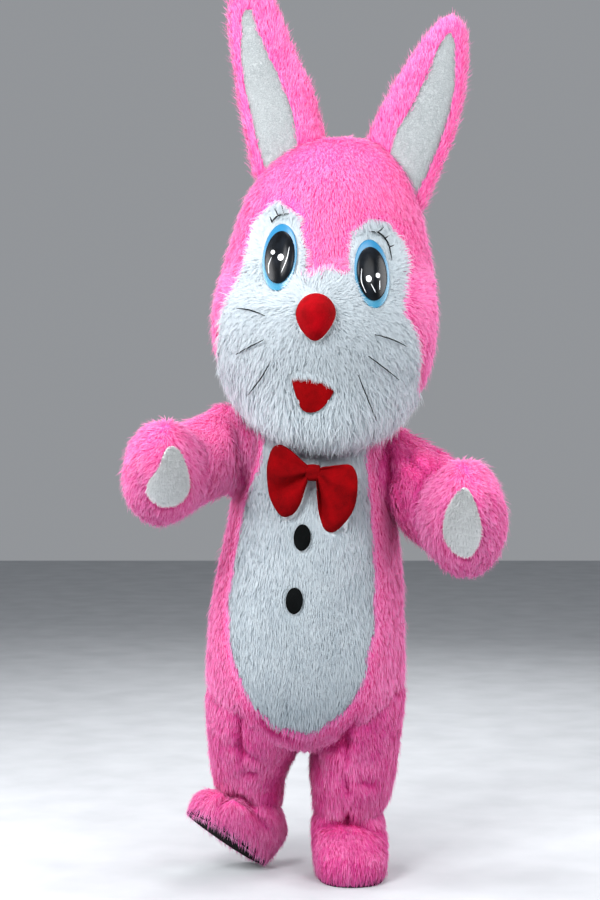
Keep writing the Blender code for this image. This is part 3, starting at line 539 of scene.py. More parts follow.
def settleSkin(name, mesh):
    rules = creaseRules
    values = skinTable[name]
    points = readPoints(mesh)
    normals = pointNormals(mesh)
    sink = values["inset"] + values["groove"] * nearness(seamDistances(mesh, int), values["grooveWidth"])
    tree = surfaceTree(mesh)
    folded = np.zeros(len(points))
    for line, depth, width in creases if name == "suit" else []:
        depth, width = depth / 1000, width / 1000
        onSkin = [tree.find_nearest(corner)[0] for corner in spotsOf(line)]
        away, place = distanceToLine(points, curveThrough(onSkin))
        fade = np.sin(np.clip(place, *rules["span"]) * math.pi) ** rules["ends"]
        sink += depth * fade * nearness(away, width)
        # a narrow fold takes painted shade in the pile's colour as well as its trough
        if width < rules["fold"] and depth > 0:
            full = min(1.0, depth / rules["fullDepth"])
            folded = np.maximum(folded, full * fade * nearness(away, rules["shaded"] * width))
        sink -= rules["bank"] * max(depth, 0.0) * fade * nearness(away - rules["bankAway"] * width, width)
    # painted shade along these lines, where the pile is also shorter
    for line, width, deep in shortPileAndPaintedShadeLines if name == "suit" else []:
        away = distanceToLine(points, curveThrough(spotsOf(line)))[0]
        folded = np.maximum(folded, deep * nearness(away, width / 1000))
    points -= normals * sink[:, None]
    mesh.vertices.foreach_set("co", points.ravel())
    mesh.update()
    storeValues(mesh, "folded", folded)


for name, mesh in skins.items():
    settleSkin(name, mesh)
print("stage: creases and seams pressed in")


def ownPiece(made):
    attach(made, "root")


def finishPiece(name, mesh, material, nodes=()):
    # a finished piece in its place, with its material and the nodes that it stands for
    made = placeObject(name, mesh)
    mesh.materials.clear()
    mesh.materials.append(material)
    for polygon in mesh.polygons:
        polygon.use_smooth = True
    ownPiece(made)
    if nodes:
        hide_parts(*nodes)
    return made


def ontoSurface(tree, place, lift):
    # the point of the surface straight behind a place seen from the front, held off it by the lift
    hit = tree.ray_cast(Vector((place.x, -1.0, place.z)), Vector((0.0, 1.0, 0.0)))[0]
    return hit + Vector((0.0, -lift, 0.0))


def sweptMesh(name, rings):
    # a closed mesh through rings of the same count, capped at both ends
    work = bmesh.new()
    rows = [[work.verts.new(point) for point in ring] for ring in rings]
    for first, second in zip(rows, rows[1:]):
        bridge(work, first, second)
    work.faces.new(rows[0][::-1])
    work.faces.new(rows[-1])
    bmesh.ops.recalc_face_normals(work, faces=work.faces)
    return meshFrom(work, name)


beardTop = 1.25  # height below which the face's pile grows longer


def laidStrip(tree, line, widths, lift, thick, steps=5, rise=0.0):
    # rings of a flat tapered strip that follows the surface along a line of (x, height), and rises over the beard
    middle = curveThrough([spot(x, 0.0, height) for x, height in line], steps)
    rings = []
    for index, place in enumerate(middle):
        along = middle[min(index + 1, len(middle) - 1)] - middle[max(index - 1, 0)]
        across = Vector((along.z, 0.0, -along.x)).normalized()
        share = index / (len(middle) - 1) * (len(widths) - 1)
        low = min(int(share), len(widths) - 2)
        half = (widths[low] + (widths[low + 1] - widths[low]) * (share - low)) / 2
        held = lift + rise * max(0.0, beardTop - floorBelow - place.z)
        edges = [ontoSurface(tree, place + across * half * sign, held) for sign in (-1, 1)]
        crown = ontoSurface(tree, place, held + thick)
        under = (edges[0] + edges[1]) / 2 + Vector((0.0, thick * 0.5, 0.0))
        rings.append([edges[0], crown, edges[1], under])
    return rings


def laidOval(tree, centre, half, lean, lift, thick, columns=20, rows=(1.0, 0.8, 0.45, 0.1), bend=0.96):
    # rings of a low dome laid on the surface: back rim first, then up to its middle
    rings = []
    for level, share in [(0.0, rows[0])] + [(math.sqrt(1 - share * share * bend), share) for share in rows]:
        ring = []
        for column in range(columns):
            angle = 2 * math.pi * column / columns
            over, up = half[0] * share * math.cos(angle), half[1] * share * math.sin(angle)
            x = over * math.cos(lean) + up * math.sin(lean)
            z = up * math.cos(lean) - over * math.sin(lean)
            ring.append(ontoSurface(tree, centre + Vector((x, 0.0, z)), lift + thick * level))
        rings.append(ring)
    return rings


def vinylMaterial(name, low, high, heights, roughness):
    # printed vinyl on foam: a smooth satin skin with a faint pebble 2 mm across, a little paler towards its foot
    made, tree, shader = startMaterial(name, {"Roughness": roughness, "Coat Weight": 0.25, "Coat Roughness": 0.2})
    where = objectPlace(tree)
    upright = addNode(tree, "ShaderNodeSeparateXYZ", {0: where}).outputs["Z"]
    share = ranged(tree, upright, 0.0, 1.0, *heights)
    mixed = calculate(tree, "MULTIPLY_ADD", noiseAt(tree, where, scale=45.0, detail=2.0), 0.35, share)
    colourBy(tree, shader, mixed, [(0.1, low), (1.0, high)])
    raiseBy(tree, shader, noiseAt(tree, where, scale=500.0, detail=1.0), strength=0.05, distance=0.001)
    return made


def feltMaterial(name, deep, light, sheen, fibre=420.0, relief=0.35):
    # pressed wool felt, velvet or thread: matt and a little fuzzy, mottled over a few centimetres, with crossing
    # fibres about 2 mm long
    made, tree, shader = startMaterial(name, {
        "Roughness": 0.9, "Sheen Weight": sheen, "Sheen Roughness": 0.4, "Sheen Tint": toLinear(light),
        "Specular IOR Level": 0.06,
    })
    where = objectPlace(tree)
    fibres = noiseAt(tree, where, scale=fibre, detail=4.0, distortion=0.8)
    mottle = noiseAt(tree, where, scale=28.0, detail=3.0)
    both = calculate(tree, "MULTIPLY_ADD", fibres, 0.5, mottle)
    colourBy(tree, shader, both, [(0.5, deep), (1.0, light)])
    raiseBy(tree, shader, fibres, strength=relief, distance=0.0015)
    return made


def glossMaterial(name, colour, speck):
    # vacuum-formed acrylic or enamel paint: hard, smooth and deep, dulled by handling, faintly cloudy under the gloss
    made, tree, shader = startMaterial(name, {"Roughness": 0.24, "IOR": 1.49, "Specular IOR Level": 0.11})
    clouds = noiseAt(tree, objectPlace(tree), scale=30.0, detail=3.0)
    colourBy(tree, shader, clouds, [(0.35, colour), (0.75, speck)])
    return made


def rubberMaterial(name, deep, light):
    # moulded rubber sole: black, scuffed grey in places, with a grain about 3 mm across
    made, tree, shader = startMaterial(name, {"Roughness": 0.8, "Specular IOR Level": 0.04})
    where = objectPlace(tree)
    colourBy(tree, shader, noiseAt(tree, where, scale=22.0, detail=5.0), [(0.4, deep), (0.8, light)])
    grain = addNode(tree, "ShaderNodeTexVoronoi", {"Vector": where, "Scale": 330.0}).outputs["Distance"]
    raiseBy(tree, shader, grain, strength=0.4, distance=0.0015)
    return made


def clothMaterial(name, root, tint):
    # knitted acrylic backing: matt, with the pile's roots showing as fine flecks about 3 mm across
    made, tree, shader = startMaterial(name, {"Roughness": 0.95})
    flecks = noiseAt(tree, objectPlace(tree), scale=330.0, detail=3.0)
    colourBy(tree, shader, flecks, [(0.3, root), (0.7, tint)])
    raiseBy(tree, shader, flecks, strength=0.3, distance=0.002)
    return made


# the darkest place on the map is the painted shade that strands take deep in folds
shadePlaces = (0.05, 0.45, 0.85)  # where a strand is darkest, middling and palest on its map


def pileMaterial(name, stops, shades, roughness, sheen, glow, through):
    # acrylic pile: deeper between the strands as painted shade, paler at the tips as painted light and slightly shiny
    # there, each strand of its own shade, and thin enough to let some light through
    made, tree, shader = startMaterial(name, {
        "Roughness": roughness, "Sheen Weight": sheen, "Sheen Roughness": 0.5, "Sheen Tint": toLinear(glow),
        "Specular IOR Level": 0.1,
    })
    where = addNode(tree, "ShaderNodeUVMap", uv_map="OFBake").outputs["UV"]
    axes = addNode(tree, "ShaderNodeSeparateXYZ", {0: where}).outputs
    # painted shade deeper towards the roots and painted light paler towards the tips
    along = addRamp(tree, axes["Y"], stops)
    # each strand's own tone, whose darkest end is painted shade in folds
    shade = addRamp(tree, axes["X"], list(zip(shadePlaces, shades)))
    sockets = {"Factor": 1.0, 6: along, 7: shade}
    mixed = addNode(tree, "ShaderNodeMix", sockets, data_type="RGBA", blend_type="MULTIPLY").outputs[2]
    tree.links.new(mixed, shader.inputs["Base Color"])
    thin = addNode(tree, "ShaderNodeBsdfTranslucent", {"Color": mixed})
    both = addNode(tree, "ShaderNodeMixShader", {0: through, 1: shader.outputs[0], 2: thin.outputs[0]})
    tree.links.new(both.outputs[0], tree.nodes["Material Output"].inputs["Surface"])
    return made


finishes = {
    "blueVinyl": vinylMaterial("blueVinyl", "247A99", "106A95", heights=(0.27, 0.45), roughness=0.35),
    "blackAcrylic": glossMaterial("blackAcrylicDome", "0A0C0F", "181C22"),
    # white enamel for the eyes' painted highlights and painted reflections
    "highlightPaint": glossMaterial("whiteEnamelPaint", "EEF2F6", "FFFFFF"),
    "redVelvet": feltMaterial("redVelvet", "660004", "94000B", sheen=0.06, fibre=600.0, relief=0.25),
    "redFelt": feltMaterial("redWoolFelt", "580003", "800005", sheen=0.03),
    "mouthFelt": feltMaterial("darkRedFelt", "640002", "860004", sheen=0.03),
    "blackFelt": feltMaterial("blackWoolFelt", "020303", "0A0C0D", sheen=0.03),
    "blackThread": feltMaterial("waxedBlackThread", "060709", "14171A", sheen=0.05, fibre=900.0, relief=0.2),
    "soleRubber": rubberMaterial("blackRubber", "020203", "0C0C0D"),
    "pinkPile": pileMaterial(
        "pinkAcrylicPile", [(0.0, "EE50A8"), (0.3, "F47CC0"), (0.65, "F69AD0"), (1.0, "F8C0E4")],
        ["C42080", "EA88CB", "FFFFFF"], roughness=0.6, sheen=0.45, glow="FFB4E4", through=0.45
    ),
    "whitePile": pileMaterial(
        "whiteAcrylicPile", [(0.0, "C0CBD1"), (0.3, "C9D3D8"), (0.65, "D0D8DD"), (1.0, "D8DFE3")],
        ["7E8D9E", "E6EAED", "FFFFFF"], roughness=0.6, sheen=0.12, glow="EEF6FF", through=0.45
    ),
    # the palms' cream plush, made paler as painted light for the shade that the palms lie in
    "creamPile": pileMaterial(
        "creamShortPlush", [(0.0, "D6DADB"), (0.3, "E0E4E5"), (0.7, "EAEDEE"), (1.0, "F6F8F8")],
        ["9CA1A4", "E8EAEA", "FFFFFF"], roughness=0.7, sheen=0.1, glow="FFFFFF", through=0.4
    ),
    # the ear linings' plush and backing: a darker copy of the cream plush, painted shade for the light that the ears
    # catch
    "earPile": pileMaterial(
        "greyCreamShortPlush", [(0.0, "9EA3A4"), (0.5, "B4B9BB"), (1.0, "C6CBCE")],
        ["C4C8CA", "E2E5E6", "F6F7F7"], roughness=0.7, sheen=0.08, glow="FFFFFF", through=0.3
    ),
    "pinkBack": clothMaterial("pinkKnitBacking", "E63C98", "F26CB6"),
    "whiteBack": clothMaterial("whiteKnitBacking", "C4CDD2", "D4DBDF"),
    "creamBack": clothMaterial("creamKnitBacking", "D6DADB", "E8EAEB"),
    "earBack": clothMaterial("greyCreamKnitBacking", "A6ABAD", "B6BBBD"),
}

# eyes: a vinyl ring, a glossy dome in it and white painted highlights on the dome, dots for catchlights and strokes
# for painted reflections of lamps, given from the eye's middle in metres
eyeTable = {
    "right": {
        "x": -0.065, "height": 1.521, "lean": 6.0,
        "highlightDots": [(-0.017, 0.010, 0.0048), (0.003, -0.001, 0.0070)],
        "reflectionStrokes": [[(-0.019, -0.002), (-0.024, -0.022), (-0.021, -0.042)],
                    [(0.021, 0.026), (0.018, -0.004), (0.008, -0.038)]],
    },
    "left": {
        "x": 0.155, "height": 1.481, "lean": -6.0,
        "highlightDots": [(-0.010, -0.012, 0.0068), (0.013, -0.006, 0.0052)],
        "reflectionStrokes": [[(-0.024, 0.014), (-0.028, -0.016), (-0.020, -0.044)],
                    [(-0.006, -0.024), (0.003, -0.046)], [(0.016, -0.018), (0.014, -0.040)]],
    },
}
paintTable = {"lift": 0.0002, "dotThick": 0.0006, "dotTaller": 1.15, "strokeThick": 0.0005,
              "strokeWidths": [0.0006, 0.0024, 0.0010]}


def makeEye(side, eye, paint):
    node = "eye_ring_" + side
    finishPiece("eyeRing_" + side, smoothNode(node, 1), finishes["blueVinyl"], [node])
    node = "eye_dome_" + side
    dome = smoothNode(node)
    finishPiece("eyeDome_" + side, dome, finishes["blackAcrylic"], [node])
    tree = surfaceTree(dome)
    lean = math.radians(eye["lean"])

    def onEye(over, up):
        return (eye["x"] + over * math.cos(lean) + up * math.sin(lean),
                eye["height"] + up * math.cos(lean) - over * math.sin(lean))

    # painted highlights: white dots and strokes that stand for catchlights and reflections of lamps on the dome
    lights = []
    for over, up, half in eye["highlightDots"]:
        x, height = onEye(over, up)
        size = (half, half * paint["dotTaller"])
        rings = laidOval(tree, spot(x, 0.0, height), size, lean, paint["lift"], paint["dotThick"])
        lights.append(sweptMesh("dot", rings))
    for stroke in eye["reflectionStrokes"]:
        line = [onEye(*place) for place in stroke]
        rings = laidStrip(tree, line, paint["strokeWidths"], paint["lift"], paint["strokeThick"])
        lights.append(sweptMesh("stroke", rings))
    finishPiece("eyeLights_" + side, joinedMesh("lights", lights), finishes["highlightPaint"])


for side, eye in eyeTable.items():
    makeEye(side, eye, paintTable)
print("stage: eyes")

# lashes and whiskers: waxed thread laid over the face's pile, as lines of (x, height), each kind with its own taper
lashTable = {
    "width": 0.0036, "lift": 0.014, "thick": 0.0012, "steps": 5, "rise": 0.0,
    "tapers": {"arc": (0.4, 1.2, 1.2, 0.4), "hair": (1.0, 0.8, 0.25)},
    "right": {
        "arc": [[(-0.0850, 1.606), (-0.0690, 1.622), (-0.0430, 1.6255)]],
        "hair": [[(-0.0835, 1.608), (-0.0870, 1.617), (-0.0915, 1.627)],
                 [(-0.0690, 1.622), (-0.0725, 1.631), (-0.0775, 1.641)],
                 [(-0.0560, 1.6255), (-0.0575, 1.637), (-0.0605, 1.648)]],
    },
    "left": {
        "arc": [[(0.1480, 1.582), (0.1710, 1.580), (0.1878, 1.566), (0.1975, 1.546), (0.2035, 1.514)]],
        "hair": [[(0.1680, 1.580), (0.1760, 1.586), (0.1835, 1.595)],
                 [(0.1860, 1.567), (0.1925, 1.571), (0.1990, 1.577)],
                 [(0.1970, 1.547), (0.2035, 1.549), (0.2095, 1.553)]],
    },
}
whiskerTable = {
    "width": 0.0030, "lift": 0.027, "thick": 0.0016, "steps": 7, "rise": 0.30,
    "tapers": {"whisker": (0.5, 1.0, 1.0, 0.4)},
    "right": {"whisker": [[(-0.170, 1.402), (-0.134, 1.395), (-0.098, 1.380)],
                          [(-0.172, 1.290), (-0.136, 1.308), (-0.102, 1.324)],
                          [(-0.143, 1.191), (-0.110, 1.232), (-0.084, 1.276)]]},
    "left": {"whisker": [[(0.160, 1.336), (0.200, 1.326), (0.240, 1.309)],
                         [(0.145, 1.285), (0.180, 1.260), (0.221, 1.229)],
                         [(0.121, 1.240), (0.141, 1.190), (0.166, 1.131)]]},
}
faceTree = surfaceTree(skins["head"])


def layThreads(name, side, table):
    strips = []
    for kind, lines in table[side].items():
        widths = [table["width"] * share for share in table["tapers"][kind]]
        for line in lines:
            rings = laidStrip(faceTree, line, widths, table["lift"], table["thick"], table["steps"], table["rise"])
            strips.append(sweptMesh(kind, rings))
    finishPiece(name + "_" + side, joinedMesh(name, strips), finishes["blackThread"])


for side in sides:
    layThreads("lashes", side, lashTable)
    layThreads("whiskers", side, whiskerTable)
print("stage: lashes and whiskers")

# nose, mouth and buttons keep the forms of their solids
nose = finishPiece("noseVelvet", smoothNode("nose"), finishes["redVelvet"], ["nose"])
mouth = finishPiece("mouthFelt", smoothNode("mouth", 1), finishes["mouthFelt"], ["mouth"])
for name in ("upper", "lower"):
    node = "button_" + name
    button = finishPiece("button_felt_" + name, smoothNode(node, 1), finishes["blackFelt"], [node])
print("stage: nose, mouth and buttons")

# bow: two padded loops fanned out from a gathered knot, with outlines as (out, up) in metres from the knot's middle
# and folds as (place along the outline, reach, height, width); the knot's folds as (count, height, start, twist); and
# how the padding swells outwards, how the folds gather at the knot and fade, and what of them shows behind
bowTable = {
    "knot": {"x": 0.014, "y": -0.176, "height": 1.005}, "knotSize": (0.019, 0.0155, 0.0200), "knotFlare": 0.12,
    "knotFolds": [(5, 0.07, 0.9, 0.5), (9, 0.03, 0.0, 0.0)],
    "puff": 0.013, "rim": 0.0035, "forward": 0.16, "across": 14, "around": 40,
    "round": 0.45, "swell": (0.65, 0.55), "gather": (0.5, 0.55, 1.5), "fade": (1.2, 0.4), "behind": 0.4,
    "right": {
        "outline": [(-0.012, 0.019), (-0.034, 0.039), (-0.055, 0.058), (-0.079, 0.070), (-0.097, 0.061),
                    (-0.107, 0.034), (-0.111, 0.008), (-0.108, -0.036), (-0.101, -0.066), (-0.079, -0.103),
                    (-0.062, -0.106), (-0.044, -0.098), (-0.028, -0.072), (-0.017, -0.036), (-0.010, -0.017)],
        "folds": [(0.30, 0.5, -0.010, 0.05), (0.44, 0.9, 0.010, 0.07), (0.56, 1.0, -0.021, 0.06),
                  (0.72, 0.9, 0.010, 0.08), (0.86, 0.7, -0.007, 0.05)],
    },
    "left": {
        "outline": [(0.014, 0.013), (0.038, 0.017), (0.063, 0.020), (0.083, 0.022), (0.097, 0.018),
                    (0.107, -0.004), (0.109, -0.030), (0.106, -0.064), (0.096, -0.095), (0.076, -0.123),
                    (0.054, -0.143), (0.041, -0.144), (0.028, -0.137), (0.018, -0.110), (0.012, -0.080),
                    (0.010, -0.045), (0.008, -0.016)],
        "folds": [(0.22, 0.8, -0.012, 0.05), (0.38, 0.9, 0.008, 0.07), (0.60, 0.9, 0.009, 0.06),
                  (0.71, 1.0, -0.021, 0.05), (0.86, 1.0, 0.011, 0.07)],
    },
}


def evenLine(points, count):
    # the line's places at even distances along it
    lengths = np.cumsum([0.0] + [(b - a).length for a, b in zip(points, points[1:])])
    return [Vector([np.interp(place, lengths, [point[axis] for point in points]) for axis in range(3)])
            for place in np.linspace(0.0, lengths[-1], count)]


def makeBowLoop(side, table):
    knot = spot(**table["knot"])
    corners = [Vector((out, 0.0, up)) for out, up in table[side]["outline"]]
    outline = evenLine(curveThrough(corners, 6), table["around"])
    last = len(outline) - 1
    swell, swellMore = table["swell"]
    rise, fall, most = table["gather"]
    fade, fadeMore = table["fade"]

    def offMiddle(sign, u, v):
        # how far a face of the loop is in front of or behind its middle, from the knot to the outline and round it
        crown = (1 - u ** 5) ** 0.5 * math.sin(math.pi * v) ** table["round"] if 0 < v < 1 else 0.0
        half = table["rim"] / 2 + table["puff"] * crown * (swell + swellMore * u)
        gather = u ** rise * (1 - u) ** fall * most
        fold = sum(high * gather * min(1.0, reach * fade - u * fadeMore) * math.exp(-(((v - centre) / width) ** 2))
                   for centre, reach, high, width in table[side]["folds"])
        return sign * half - fold * (1.0 if sign < 0 else table["behind"])

    work = bmesh.new()
    borders = []
    for sign in (-1, 1):
        grid = []
        for step in range(table["across"] + 1):
            u = step / table["across"]
            row = []
            for index, end in enumerate(outline):
                v = index / last
                place = outline[0].lerp(outline[-1], v).lerp(end, u)
                off = offMiddle(sign, u, v) - table["forward"] * abs(place.x)
                row.append(work.verts.new(knot + place + Vector((0.0, off, 0.0))))
            grid.append(row)
        for first, second in zip(grid, grid[1:]):
            bridge(work, first, second, closed=False)
        borders.append(grid[0] + [row[-1] for row in grid[1:]] + grid[-1][-2::-1] + [row[0] for row in grid[-2:0:-1]])
    bridge(work, *borders)
    bmesh.ops.recalc_face_normals(work, faces=work.faces)
    return smoothed(meshFrom(work, "bow_" + side), 1)


def makeKnot(table, steps=12, columns=32):
    # a short band gathered along its length, so that its folds run on into the loops
    knot = spot(**table["knot"])
    long, deep, tall = table["knotSize"]
    rings = []
    for step in range(steps + 1):
        share = step / steps * 2 - 1
        flare = 1.0 - table["knotFlare"] * share * share
        ring = []
        for column in range(columns):
            angle = 2 * math.pi * column / columns
            fold = 1.0
            for count, high, start, twist in table["knotFolds"]:
                fold += high * math.cos(count * angle + start + share * twist)
            around = (-deep * flare * fold * math.sin(angle), tall * flare * fold * math.cos(angle))
            ring.append(knot + Vector((share * long, *around)))
        rings.append(ring)
    return smoothed(sweptMesh("knot", rings), 1)


for side in sides:
    loop = finishPiece(
        "bowLoop_" + side, makeBowLoop(side, bowTable), finishes["redFelt"], ["bow_loop_" + side]
    )
knot = finishPiece("bowKnot", makeKnot(bowTable), finishes["redFelt"], ["bow_knot"])
for side in sides:
    for place in frame["nodes"]["sole_" + side].material_slots:
        place.material = finishes["soleRubber"]
print("stage: bow and soles")

# a strand's points: across as a share of its width, then along the cloth and off it as shares of its length
strandShape = {
    "long": {"points": [(0.0, 0.0, 0.0), (-0.5, 0.34, 0.42), (0.5, 0.34, 0.42), (0.0, 0.93, 0.52)],
             "tips": [0.0, 0.45, 0.45, 1.0], "faces": [(0, 2, 1), (1, 2, 3)]},
    "short": {"points": [(-0.5, 0.0, 0.0), (0.5, 0.0, 0.0), (0.0, 0.55, 0.75)],
              "tips": [0.0, 0.0, 1.0], "faces": [(0, 1, 2)]},
}
# the share of the pile's length below which none grows; metres under and beside what is laid on the cloth; how single
# strands differ: leans and turns in radians, lengths as shares, and shades from 0 to 1, with the length and the
# painted shade in a fold
strandRules = {
    "least": 0.05, "bareReach": 0.028, "clippedReach": 0.026, "clippedTo": 0.35,
    "waveScale": 9.0, "wave": 1.1, "strays": 7.0,
    "leans": (-0.16, 0.22), "turns": (-0.5, 0.5), "lengths": (0.75, 1.08), "clumpLengths": (0.88, 1.10),
    "shades": (0.45, 0.75), "clumpShade": 0.2, "lengthInFold": 0.45, "paintedShadeInFold": 0.05,
}
lowestTip = 0.002  # metres above the floor
strandMap = {"edge": 0.02, "span": 0.96, "across": 0.004}  # a strand's place on its map, as shares of the map
# numbers that the pile's tree takes for each kind of cloth
pileColumns = ("Density", "Pile", "Strand Width", "Clump Size", "Clump Pull", "Scatter", "Stand", "Fly", "Tone")


def strandTemplate(kind):
    shape = strandShape[kind]
    mesh = bpy.data.meshes.new("strand_" + kind)
    mesh.from_pydata(shape["points"], [], shape["faces"])
    storeValues(mesh, "tip", shape["tips"])
    storeValues(mesh, "side", [2 * point[0] for point in shape["points"]])
    return placeObject("strand_" + kind, mesh)


def pileTree(rules):
    # grows strands on a cloth, whose points say how they are combed, how long they are and how deep in a fold, which
    # sets their painted shade
    tree = bpy.data.node_groups.new("pile", "GeometryNodeTree")
    sockets = {"Geometry": ["Cloth"], "Float": pileColumns, "Int": ["Seed"],
               "Object": ["Strand", "Bare Under", "Short By"], "Material": ["Finish"]}
    for kind, names in sockets.items():
        for name in names:
            tree.interface.new_socket(name, in_out="INPUT", socket_type="NodeSocket" + kind)
    tree.interface.new_socket("Pile", in_out="OUTPUT", socket_type="NodeSocketGeometry")

    def made(kind, inputs=None, **settings):
        return addNode(tree, kind, inputs, **settings).outputs

    given = made("NodeGroupInput")

    def stored(name, kind="FLOAT"):
        return made("GeometryNodeInputNamedAttribute", {"Name": name}, data_type=kind)["Attribute"]

    def number(operation, *values, **settings):
        return calculate(tree, operation, *values, **settings)

    def vector(operation, first, second):
        inputs = {0: first, ("Scale" if operation == "SCALE" else 1): second}
        return made("ShaderNodeVectorMath", inputs, operation=operation)[0]

    def drawn(step, low, high):
        # a random number or vector for each strand, drawn apart from the others
        own = number("ADD", given["Seed"], 101.0 * step)
        if isinstance(low, tuple):
            return made("FunctionNodeRandomValue", {0: low, 1: high, "Seed": own}, data_type="FLOAT_VECTOR")[0]
        return made("FunctionNodeRandomValue", {2: low, 3: high, "Seed": own}, data_type="FLOAT")[1]

    def shapeOf(socket):
        return made("GeometryNodeObjectInfo", {"Object": given[socket]})["Geometry"]

    pile, folded = stored("pile"), stored("folded")
    density = number("MULTIPLY", given["Density"], number("GREATER_THAN", pile, rules["least"]))
    cloth = {"Mesh": given["Cloth"], "Density": density, "Seed": given["Seed"]}
    spread = made("GeometryNodeDistributePointsOnFaces", cloth)
    place = made("GeometryNodeInputPosition")[0]
    # no pile grows under what is laid on the cloth, and it is shorter close by
    above = made("GeometryNodeRaycast", {
        "Target Geometry": shapeOf("Bare Under"), "Source Position": place, "Ray Direction": spread["Normal"],
        "Ray Length": rules["bareReach"],
    })["Is Hit"]
    bared = {"Geometry": spread["Points"], "Selection": above}
    points = made("GeometryNodeDeleteGeometry", bared, domain="POINT")[0]
    nearby = made("GeometryNodeProximity", {0: shapeOf("Short By")}, target_element="FACES")["Distance"]
    beside = ranged(tree, nearby, rules["clippedTo"], 1.0, 0.0, rules["clippedReach"])
    # strands lean together towards the middle of their clump, stray from it one by one and wave all together
    perClump = number("DIVIDE", 1.0, given["Clump Size"])
    cells = made("ShaderNodeTexVoronoi", {"Vector": place, "Scale": perClump, "Randomness": 1.0})
    toMiddle = vector("SUBTRACT", cells["Position"], place)
    pulled = vector("SCALE", toMiddle, number("MULTIPLY", given["Clump Pull"], perClump))
    strayed = vector("SCALE", drawn(1, (-1.0, -1.0, -1.0), (1.0, 1.0, 1.0)), given["Scatter"])
    wave = made("ShaderNodeTexNoise", {"Vector": place, "Scale": rules["waveScale"], "Detail": 2.0})["Color"]
    waved = vector("SCALE", vector("SUBTRACT", wave, (0.5, 0.5, 0.5)), rules["wave"])
    way = stored("comb", "FLOAT_VECTOR")
    for part in (pulled, strayed, waved):
        way = vector("ADD", way, part)
    turnTo = "FunctionNodeAlignRotationToVector"
    upright = made(turnTo, {"Vector": spread["Normal"]}, axis="Z")[0]
    combed = made(turnTo, {"Rotation": upright, "Vector": way}, axis="Y", pivot_axis="Z")[0]
    # some strands stand up more than others, and a few fly away
    flying = number("POWER", drawn(2, 0.0, 1.0), rules["strays"])
    lifted = number("ADD", drawn(3, *rules["leans"]), given["Stand"])
    flownUp = number("MULTIPLY_ADD", flying, given["Fly"], lifted)
    turn = made("ShaderNodeCombineXYZ", {"X": flownUp, "Y": drawn(4, *rules["turns"])})[0]
    turned = {"Rotation": combed, "Rotate By": made("FunctionNodeEulerToRotation", {0: turn})[0]}
    rotation = made("FunctionNodeRotateRotation", turned, rotation_space="LOCAL")[0]
    # length: the pile's, by place, uneven from strand to strand and from clump to clump, short beside and in folds
    clump = made("ShaderNodeSeparateXYZ", {0: cells["Color"]})
    length = number("MULTIPLY", given["Pile"], pile)
    for part in (number("MULTIPLY_ADD", flying, given["Fly"], drawn(5, *rules["lengths"])),
                 ranged(tree, clump["Y"], *rules["clumpLengths"]), beside,
                 ranged(tree, folded, 1.0, rules["lengthInFold"])):
        length = number("MULTIPLY", length, part)
    size = made("ShaderNodeCombineXYZ", {"X": given["Strand Width"], "Y": length, "Z": length})[0]
    # shade: partly by clump, partly by strand, raised or lowered by the painted light and shade of the kind and the
    # panel, and painted shade deep in a fold
    toneAndPaintedLight = number("ADD", drawn(6, *rules["shades"]), given["Tone"])
    fullShade = number("MULTIPLY_ADD", clump["X"], rules["clumpShade"], toneAndPaintedLight, use_clamp=True)
    shade = number("MULTIPLY", fullShade, ranged(tree, folded, 1.0, rules["paintedShadeInFold"]))
    shaded = {"Geometry": points, "Name": "shade", "Value": shade}
    marked = made("GeometryNodeStoreNamedAttribute", shaded, data_type="FLOAT", domain="POINT")[0]
    strands = {"Points": marked, "Instance": shapeOf("Strand"), "Rotation": rotation, "Scale": size}
    real = made("GeometryNodeRealizeInstances", {"Geometry": made("GeometryNodeInstanceOnPoints", strands)[0]})[0]
    finished = made("GeometryNodeSetMaterial", {"Geometry": real, "Material": given["Finish"]})[0]
    addNode(tree, "NodeGroupOutput", {0: finished})
    return tree


def markCloth(mesh, comb, share, lying):
    # how the pile is combed, its length as a share, and the way that the light takes it, at the mesh's points
    storeValues(mesh, "comb", comb)
    storeValues(mesh, "pile", share)
    storeValues(mesh, "lying", lying)


def dropStored(mesh):
    for spare in ("tip", "side", "shade", "lying", "comb", "pile", "folded"):
        if spare in mesh.attributes:
            mesh.attributes.remove(mesh.attributes[spare])


def growPile(name, cloth, values):
    # runs the tree on a panel's mesh and keeps the result as a plain mesh
    made = placeObject(name, cloth)
    modifier = made.modifiers.new("pile", "NODES")
    modifier.node_group = grower
    ids = {item.name: item.identifier for item in grower.interface.items_tree if item.in_out == "INPUT"}
    for socket, value in values.items():
        modifier[ids[socket]] = value
    made.update_tag()
    mesh = finishedMesh(made)
    count = len(mesh.vertices)
    tip, shade, side = (readArray(mesh.attributes[row].data, "value", 1, count, np.float32)
                        for row in ("tip", "shade", "side"))
    lying = readArray(mesh.attributes["lying"].data, "vector", 3, count, np.float32)
    corners = readArray(mesh.loops, "vertex_index", 1, len(mesh.loops), np.int32)
    points = readPoints(mesh)
    points[:, 2] = np.maximum(points[:, 2], lowestTip - floorBelow)  # no tip goes into the floor
    mesh.vertices.foreach_set("co", points.ravel())
    # a strand's shade and the way from root to tip are its place on a small map, for its colour
    layer = mesh.uv_layers.new(name="OFBake")
    edge, span, across = strandMap.values()
    places = np.stack([edge + span * shade + across * side, edge + span * tip], axis=1)[corners]
    layer.data.foreach_set("uv", places.astype(np.float32).ravel())
    dropStored(mesh)
    mesh.normals_split_custom_set_from_vertices([tuple(row) for row in unitRows(lying).tolist()])
    pile = placeObject(name, mesh)
    ownPiece(pile)
    return pile


